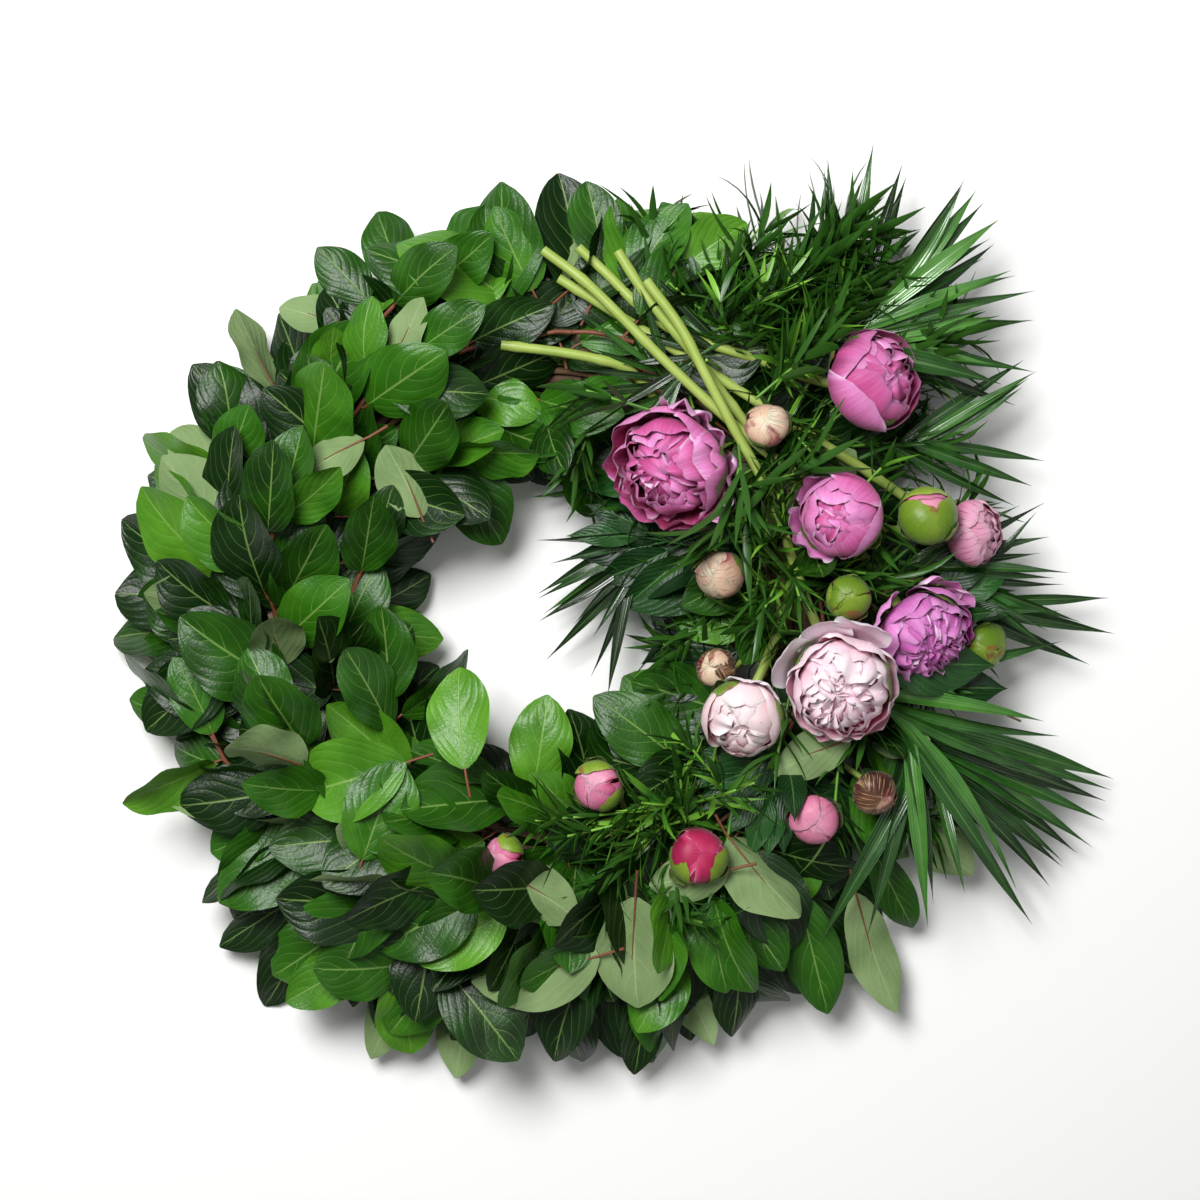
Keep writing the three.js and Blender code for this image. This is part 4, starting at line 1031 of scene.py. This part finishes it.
# colours from base to tip inside and, where they differ, outside; the line and the flecks on a petal, and where
# each sets in. What a look leaves out it takes from the common values
commonPetal = dict(edgeWidth=0.06, rimLight=0.3, strokeFrom=1.0, rough=0.46)
petalLooks = dict(
    pink=dict(inside=("5e0c2e", "a02a5c", "d872ae", "f3b8e0"), outside=("8e2a58", "c2508e", "e38fc8", "f4bfe2"),
              edge="f4c2e6", edgeWidth=0.05, fleck="eba6d6", fleckFrom=0.8),
    lilac=dict(inside=("6c1656", "a8398a", "d276c2", "f1c0e8"),
               outside=("8f3578", "bd5fa8", "dc90cc", "f2c6ea"), edge="f6d0f0", edgeWidth=0.05, fleck="ebb6e0",
               fleckFrom=0.8),
    blush=dict(inside=("b44f70", "d994a8", "f0cad6", "fbebf0"),
               outside=("d294aa", "ecc4d2", "f7e0e8", "fdf2f7"), edge="fdf2f6", fleck="fbe9e6", fleckFrom=0.72),
    pale=dict(inside=("b85a70", "e2a8b2", "f3d6da", "fdf2f2"), outside=("d59aa2", "ecc6ca", "f4dce0", "fbecee"),
              edge="fff6f6", fleck="cf2f6a", fleckFrom=0.70),
    # pinkLight and white, used for the loose petals, are paler copies of the pink, lilac, blush and pale looks: partly
    # their own colour, partly painted light
    pinkLight=dict(inside=("a83a80", "d67cbc", "eba8da", "f8d2ee"),
                   outside=("a84484", "d884c2", "eaaedb", "f6d0ec"), edge="fae0f4", fleck="f0bce2",
                   fleckFrom=0.8),
    white=dict(inside=("d6a0b6", "ecd2e0", "f7e8f1", "fff8fc"),
               outside=("dcaabf", "f0d8e4", "f9ecf3", "fff9fc"), edge="ffffff", fleck="fdf6fa", fleckFrom=0.75),
    striped=dict(inside=("9a1c4c", "cf6a90", "e9b0c8", "f6dbe6"),
                 outside=("a82a5c", "d884a6", "ecb8ce", "f7dce6"), edge="a81e50", edgeWidth=0.08, rimLight=0.2,
                 fleck="b82a62", fleckFrom=0.64, strokeFrom=0.56, rough=0.42),
    magenta=dict(inside=("7c0c36", "ab2050", "d05078", "ec94ac"), edge="f0a8bc", edgeWidth=0.05, fleck="eba6ba",
                 fleckFrom=0.72, rough=0.4),
    cream=dict(inside=("b06a6c", "d2ac92", "e2cdb2", "f0e6d4"), edge="8c1838", edgeWidth=0.2, rimLight=0.0,
               fleck="8e2c48", fleckFrom=0.6, strokeFrom=0.58, rough=0.38),
    rose=dict(inside=("a83a64", "cc6f92", "e29ab2", "f3c8d4"), edge="b02c56", edgeWidth=0.12, rimLight=0.0,
              fleck="f6d0d0", fleckFrom=0.68, strokeFrom=0.63, rough=0.38),
    green=dict(inside=("33500e", "5c7c1c", "809a30", "a8b65a"), edge="8a3c34", edgeWidth=0.07, rimLight=0.0,
               fleck="8e3a36", fleckFrom=0.63, rough=0.32),
    brown=dict(inside=("221010", "42201a", "6c4a38", "b8996f"), edge="bf9c70", edgeWidth=0.16, rimLight=0.0,
               fleck="74182c", fleckFrom=0.56, strokeFrom=0.55, rough=0.34),
    sepal=dict(inside=("203a0c", "3e6019", "68882f", "96a852"), edge="8a2c40", edgeWidth=0.1, rimLight=0.0,
               fleck="8a3040", fleckFrom=0.6, rough=0.38),
)
petals = {key: petalMaterial("peonyPetal" + key.capitalize(), dict(commonPetal, **look))
          for key, look in petalLooks.items()}

# each form's rounds of petals, outermost first
rounds = dict(
    full=[petalRow(6, 1.02, 25, 108, 0.80, 0.10, 0.05, 2, 10),
          petalRow(7, 0.96, 30, 122, 0.66, 0.06, 0.06, 2, 12),
          petalRow(7, 0.90, 45, 134, 0.56, 0.03, 0.09, 2, 14),
          petalRow(9, 0.84, 70, 144, 0.48, 0.04, 0.12, 2, 12),
          petalRow(11, 0.78, 85, 152, 0.44, 0.04, 0.16, 3, 8),
          petalRow(12, 0.70, 95, 164, 0.44, 0.02, 0.18, 3, 0),
          petalRow(10, 0.62, 110, 184, 0.50, 0.0, 0.20, 3, 0)],
    cup=[petalRow(6, 1.05, 20, 112, 0.84, 0.12, 0.05, 2, 18),
         petalRow(6, 0.97, 30, 126, 0.74, 0.08, 0.06, 2, 22),
         petalRow(7, 0.87, 40, 138, 0.62, 0.04, 0.10, 2, 20),
         petalRow(8, 0.76, 60, 148, 0.54, 0.04, 0.14, 2, 14),
         petalRow(9, 0.66, 80, 160, 0.52, 0.02, 0.18, 3, 6),
         petalRow(8, 0.56, 90, 184, 0.56, 0.0, 0.20, 3, 0)],
    ball=[petalRow(4, 1.02, 15, 130, 1.0, 0.04, 0.02, 1, 18),
          petalRow(5, 0.96, 25, 144, 0.88, 0.02, 0.04, 2, 20),
          petalRow(5, 0.90, 40, 154, 0.74, 0.02, 0.06, 2, 16),
          petalRow(6, 0.82, 70, 162, 0.56, 0.02, 0.12, 2, 8),
          petalRow(7, 0.72, 90, 182, 0.50, 0.0, 0.16, 2, 0)],
    bud=[petalRow(3, 0.95, 10, 172, 1.05, -0.02, 0.01, 1, 10, edge=(0.0, 0.05), stray=3),
         petalRow(3, 0.90, 40, 186, 0.96, 0.0, 0.015, 1, 0, edge=(0.0, 0.04))],
    sepals=[petalRow(3, 1.03, 5, 100, 0.66, 0.02, 0.02, 1, 18),
            petalRow(3, 1.07, 5, 76, 0.34, 0.10, 0.03, 1, 14)],
    hood=[petalRow(3, 1.04, 5, 136, 0.90, 0.02, 0.015, 1, 30),
          petalRow(3, 1.07, 5, 84, 0.40, 0.10, 0.03, 1, 10)],
    cap=[petalRow(3, 1.04, 5, 168, 1.2, 0.0, 0.01, 1, 22, edge=(0.0, 0.03)),
         petalRow(3, 1.05, 5, 100, 0.46, 0.06, 0.03, 1, 10)],
)
petalShape = dict(rows=12, columns=11, thickness=0.00045, squash=0.72, crumple=0.016, scallop=0.012, notch=0.07,
                  anyPhase=(0, 6.3))


def petalRound(bloom, layer, random, material):
    # a petal is bent over a squat ball about the flower's axis: its midline climbs a meridian from the base's polar
    # angle to the tip's, and its width w is laid off square to it, so that petals may close over the top:
    # petal(s, t) = centre + reach (cos(w t) (out sin a - axis squash cos a) + east sin(w t)), where reach swells with
    # flare and ruffle, and s stops short in a notch and in scallops at the rim
    count = layer["count"]
    s = np.linspace(0, 1, petalShape["rows"])[None, :, None]
    t = np.linspace(-1, 1, petalShape["columns"])[None, None, :]
    each = lambda low, high: random.uniform(low, high, (count, 1, 1))
    phase = lambda: each(*petalShape["anyPhase"])
    arc = layer.get("arc", (0, 2 * np.pi))
    own = np.linspace(*arc, count, endpoint="arc" in layer)[:, None, None] + each(-0.25, 0.25)
    own = own + (0 if "arc" in layer else bloom["turn"] + 2.4 * layer["reach"])
    reach = bloom["half"] * layer["reach"] * each(0.94, 1.04)
    notch = petalShape["notch"] * np.exp(-((t - each(-0.4, 0.4)) / 0.15) ** 2) * each(0, 1)
    place = s * (1 - 0.15 * t ** 2 - notch * s + petalShape["scallop"] * np.sin(8 * t + phase()) * s)
    tip = layer["tip"] + each(-10, 8) - layer["lean"] * np.cos(own - bloom["opens"])
    a = np.radians(layer["base"] + (tip - layer["base"]) * place)
    w = layer["width"] * np.sin(np.pi * (0.10 + 0.68 * s)) ** 0.75 * each(0.86, 1.14) * t
    ruffle = layer["ruffle"] * (np.sin(np.pi * layer["folds"] * t + phase())
                                + 0.5 * np.sin(5.3 * t + 4 * s + phase()))
    crumple = petalShape["crumple"] * np.sin(10 * t + 6 * s + phase()) * np.sin(7 * s - 4 * t + phase())
    swell = 1 + ruffle * s ** 2 + crumple * s + layer["flare"] * smoothStep(s, 0.5, 1)
    swell = swell + each(*layer.get("edge", (-0.10, 0.03))) * t ** 2 * s + each(0, 0.03) * t
    out = bloom["side"] * np.cos(own)[..., None] + bloom["up"] * np.sin(own)[..., None]
    lean = random.normal(0, 0.04 + 0.45 * max(0, 1 - layer["reach"]), (count, 1, 1, 2)) * layer.get("stray", 1)
    axis = unit(bloom["axis"] + lean[..., :1] * bloom["side"] + lean[..., 1:] * bloom["up"])
    out = unit(out - (out * axis).sum(-1, keepdims=True) * axis)
    east = np.cross(axis, out)
    climb = np.sin(a)[..., None] * out - petalShape["squash"] * np.cos(a)[..., None] * axis
    ball = np.cos(w)[..., None] * climb + np.sin(w)[..., None] * east
    drift = random.normal(0, 0.05, (count, 1, 1, 3)) * bloom["half"] * (1.15 - layer["reach"])
    grid = bloom["centre"] + drift + (reach * swell)[..., None] * ball
    normal = unit(np.cross(np.gradient(grid, axis=1), np.gradient(grid, axis=2)))
    half = normal * petalShape["thickness"] / 2
    return shellPart(grid + half, grid - half, random.uniform(0, 1, count), material)


def bloomFrame(centre, across, faces):
    # the flower's own directions: its axis leans by the tilt towards the compass direction
    compass, tilt = np.radians(faces)
    axis = np.array([np.sin(tilt) * np.cos(compass), np.sin(tilt) * np.sin(compass), np.cos(tilt)])
    side = unit(np.cross([0.3, 1.0, 0.1], axis))
    up = np.cross(axis, side)
    fall = np.array([np.cos(compass), np.sin(compass), 0])
    return dict(centre=np.array(centre), half=across / 2, axis=axis, side=side, up=up, turn=compass,
                opens=np.arctan2(up @ fall, side @ fall))


# the big loose petals are paler than the heart: partly their own colour, partly painted light, as they lie open while
# the heart is in shade
loosePetals = dict(pink="pinkLight", lilac="pinkLight", blush="white", pale="white")
for number, peony in peonies.items():
    random = np.random.default_rng(peony["seed"])
    bloom = bloomFrame(np.array(peony["at"]) + ringCentre, peony["across"] * peony["size"], peony["faces"])
    parts = [petalRound(bloom, layer, random, 0) for layer in rounds[peony["form"]]]
    if "loose" in peony:
        parts.append(petalRound(bloom, peony["loose"], random, 2))
    parts += [petalRound(bloom, layer, random, 1) for layer in rounds["sepals"]]
    petal = peony["petal"]
    looks = [petals[petal], petals["sepal"], petals[loosePetals.get(petal, petal)]]
    makePiece(f"peony_{number}_petals", parts, looks, [f"peony_head_{number}"])
print("peonies made")


# buds, each on its own short stem

# cut peony stem: smooth and pale green, with a slight gloss along it
stemGreen = barkMaterial("peonyStemCut", dict(
    dark="64802e", mid="8ba343", light="b2c468", pores="c4d092", streakAlong=2.0, streakAround=10.0, bump=0.25,
    gloss=0.38))
# the stem enters the bud from below; under and below are over the bud's width
budStem = dict(radius=0.0022, sides=10, steps=14, tone=0.4, under=0.34, below=0.70, seed=40)
for number, bud in buds.items():
    random = np.random.default_rng(budStem["seed"] + number)
    bloom = bloomFrame(np.array(bud["at"]) + ringCentre, bud["across"], bud["faces"])
    parts = [petalRound(bloom, layer, random, 0) for layer in rounds["bud"]]
    parts += [petalRound(bloom, layer, random, 1) for layer in rounds[bud["cover"]]]
    below, under = (bloom["centre"] - bloom["axis"] * budStem[key] * bud["across"] for key in ("below", "under"))
    stem = smoothPath([np.array(bud["foot"]) + ringCentre, below, under], budStem["steps"])
    parts.append(tubePart(stem[None], budStem["radius"], budStem["sides"], budStem["tone"], 2))
    makePiece(f"bud_{number}_petals", parts, [petals[bud["petal"]], petals[bud["sepal"]], stemGreen],
              [f"peony_bud_{number}"])
print("buds made")


# cut peony stems that cross the top of the ring

cutStem = dict(radius=0.0036, sides=14, steps=44, tone=0.35, joints=0.16, jointSpacing=0.062, jointReach=0.0035,
               jointShift=0.02)
for number, peony in peonies.items():
    path = smoothPath(stemPaths[number], cutStem["steps"])
    reach = np.append(0, np.cumsum(np.linalg.norm(np.diff(path, axis=0), axis=-1)))
    # a joint swells the stem where a leaf was cut off: radius (1 + joints e^(-(distance / jointReach)^2))
    off = (reach + cutStem["jointShift"] * number) % cutStem["jointSpacing"] - cutStem["jointSpacing"] / 2
    radii = cutStem["radius"] * (1 + cutStem["joints"] * np.exp(-(off / cutStem["jointReach"]) ** 2))
    makePiece(f"cut_stem_{number}", [tubePart(path[None], radii[None], cutStem["sides"], cutStem["tone"], 0)],
              [stemGreen], [f"peony_stem_{number}"])
print("cut stems made")


# brushwood ring: wands laid along each other round the ring, bound with wire

# wands are how many and how deep in the ring's section; run and twist are in radians
brushwood = dict(
    wands=((30, 0.86), (26, 0.52)), steps=90, sides=8, radius=(0.0022, 0.0042), taper=(1.1, 0.6), thinnest=0.0005,
    run=(4.2, 6.2), twist=(-0.9, 0.9), waver=0.10, bulge=0.03, tone=(0, 0.5),
    width=0.030, height=0.028, middle=0.026, floor=0.0032, gap=0.0002,
    twigSteps=30, twigRadius=(0.0019, 0.0009), twigTone=0.3, seed=31,
)
# willow bark: long streaks, dull and rough
wandBark = barkMaterial("willowWandBark", dict(
    dark="2a1c12", mid="5f4630", light="8f7350", pores="a88e6a", streakAlong=30.0, streakAround=6.0, bump=0.5,
    gloss=0.7))


def wandPaths(count, depth, random):
    # a wand runs round the ring through a fixed place of its section that slowly turns and wavers:
    # reach = middle + width d cos p, height = centre + height d sin p, with p = own place + twist along it
    run = np.linspace(0, 1, brushwood["steps"])[None]
    each = lambda low, high: random.uniform(low, high, (count, 1))
    turn = each(0, 2 * np.pi) + run * each(*brushwood["run"])
    p = np.linspace(0, 2 * np.pi, count, endpoint=False)[:, None] + each(*brushwood["twist"]) * run
    p = p + brushwood["waver"] * np.sin(3 * turn + each(0, 6.3))
    d = depth * each(0.92, 1.0) + brushwood["bulge"] * np.sin(5 * turn + each(0, 6.3))
    reach = ring["middle"] + brushwood["width"] * d * np.cos(p)
    height = np.maximum(brushwood["middle"] + brushwood["height"] * d * np.sin(p), brushwood["floor"])
    return ringCentre + np.stack([reach * np.cos(turn), reach * np.sin(turn), height], -1)


random = np.random.default_rng(brushwood["seed"])
parts = []
for count, depth in brushwood["wands"]:
    paths = wandPaths(count, depth, random)
    taper = np.linspace(*brushwood["taper"], brushwood["steps"])
    thick = random.uniform(*brushwood["radius"], (count, 1)) * taper
    # a wand low in the bundle is thinner, so that it clears the floor
    thick = np.minimum(thick, np.maximum(paths[..., 2] - brushwood["gap"], brushwood["thinnest"]))
    parts.append(tubePart(paths, thick, brushwood["sides"], random.uniform(*brushwood["tone"], count), 0))
looseTwigs = [      # metres about the ring's centre, as in the solid ring
    [(0.182, -0.040, 0.030), (0.215, -0.038, 0.034), (0.262, -0.052, 0.030), (0.308, -0.066, 0.026),
     (0.345, -0.082, 0.022)],
    [(0.196, 0.010, 0.034), (0.225, 0.018, 0.040), (0.262, 0.022, 0.040), (0.300, 0.020, 0.034)],
    [(0.178, -0.084, 0.020), (0.214, -0.104, 0.022), (0.262, -0.118, 0.018), (0.300, -0.126, 0.014)],
]
twigs = np.array([smoothPath(np.array(twig) + ringCentre, brushwood["twigSteps"]) for twig in looseTwigs])
radii = np.linspace(*brushwood["twigRadius"], brushwood["twigSteps"])
parts.append(tubePart(twigs, radii, brushwood["sides"], brushwood["twigTone"], 0))
makePiece("brushwood_wands", parts, [wandBark], ["brushwood_ring"])

# green enamelled steel wire: thin smooth paint with a low gloss, chipped to grey
wirePaint, tree = newMaterial("floristWireGreen")
place = addNode(tree, "TexCoord", output="Object")
chips = addNode(tree, "TexNoise", {"Vector": place, "Scale": 300.0, "Detail": 3.0})
chips = addNode(tree, "MapRange", {"Value": chips, "From Min": 0.6, "From Max": 0.66})
colour = addNode(tree, "Mix", {0: chips, 6: linearColour("26402a"), 7: linearColour("6b706a")},
                 output=2, data_type="RGBA")
rough = addNode(tree, "MapRange", {"Value": chips, "To Min": 0.35, "To Max": 0.6})
finishMaterial(tree, addNode(tree, "BsdfPrincipled", {"Base Color": colour, "Roughness": rough}))
# it goes once round the section for every pitch in degrees along the ring, and lies flat at the floor's height
binding = dict(radius=0.0007, sides=8, tone=0.5, lift=0.007, floor=0.0011, first=95, pitch=45, turns=7.45, steps=360)
turns = np.linspace(0, binding["turns"], binding["steps"])
wound = 2 * np.pi * turns
along = np.radians(binding["first"] + binding["pitch"] * turns)
reach = ring["middle"] + (brushwood["width"] + binding["lift"]) * np.cos(wound)
height = np.maximum(brushwood["middle"] + (brushwood["height"] + binding["lift"]) * np.sin(wound), binding["floor"])
wirePath = ringCentre + np.stack([reach * np.cos(along), reach * np.sin(along), height], -1)
makePiece("binding_wire_round", [tubePart(wirePath[None], binding["radius"], binding["sides"], binding["tone"], 0)],
          [wirePaint], ["binding_wire"])
print("ring and wire made")


# floor, light and camera

studio = dict(
    floorSize=6.0, floorCode="f4f4f2", skyStrength=0.17, aim=(-0.018, 0.003, 0.08), distance=1.9, frameWidth=0.852,
    sensor=36,
    lamps=dict(keyLight=dict(place=(-0.65, 0.85, 1.95), power=63.0, size=1.0),
               fillLight=dict(place=(1.2, -0.4, 1.9), power=6.0, size=2.0)),
)


def makeStudio():
    mesh = bpy.data.meshes.new("floor")
    s = studio["floorSize"] / 2
    mesh.from_pydata([(-s, -s, 0), (s, -s, 0), (s, s, 0), (-s, s, 0)], [], [(0, 1, 2, 3)])
    # matt white paper: nothing but soft shadows shows on it
    paper, tree = newMaterial("whitePaperFloor")
    finishMaterial(tree, addNode(tree, "BsdfPrincipled", {
        "Base Color": linearColour(studio["floorCode"]), "Roughness": 0.9}))
    mesh.materials.append(paper)
    placed("floor", mesh)
    world = bpy.data.worlds.new("softRoom")
    world.use_nodes = True
    sky = world.node_tree.nodes["Background"].inputs
    sky["Color"].default_value = (1, 1, 1, 1)
    sky["Strength"].default_value = studio["skyStrength"]
    bpy.context.scene.world = world
    aim = Vector(studio["aim"])
    for name, look in studio["lamps"].items():
        lamp = bpy.data.lights.new(name, "AREA")
        lamp.energy, lamp.size = look["power"], look["size"]
        holder = placed(name, lamp, look["place"])
        holder.rotation_euler = (aim - Vector(look["place"])).to_track_quat("-Z", "Y").to_euler()
    # the camera looks straight down
    camera = bpy.data.cameras.new("camera")
    camera.sensor_width = studio["sensor"]
    camera.lens = studio["sensor"] * studio["distance"] / studio["frameWidth"]
    bpy.context.scene.camera = placed("camera", camera, aim + Vector((0, 0, studio["distance"])))


makeStudio()
bpy.context.scene.view_settings.view_transform = "Standard"
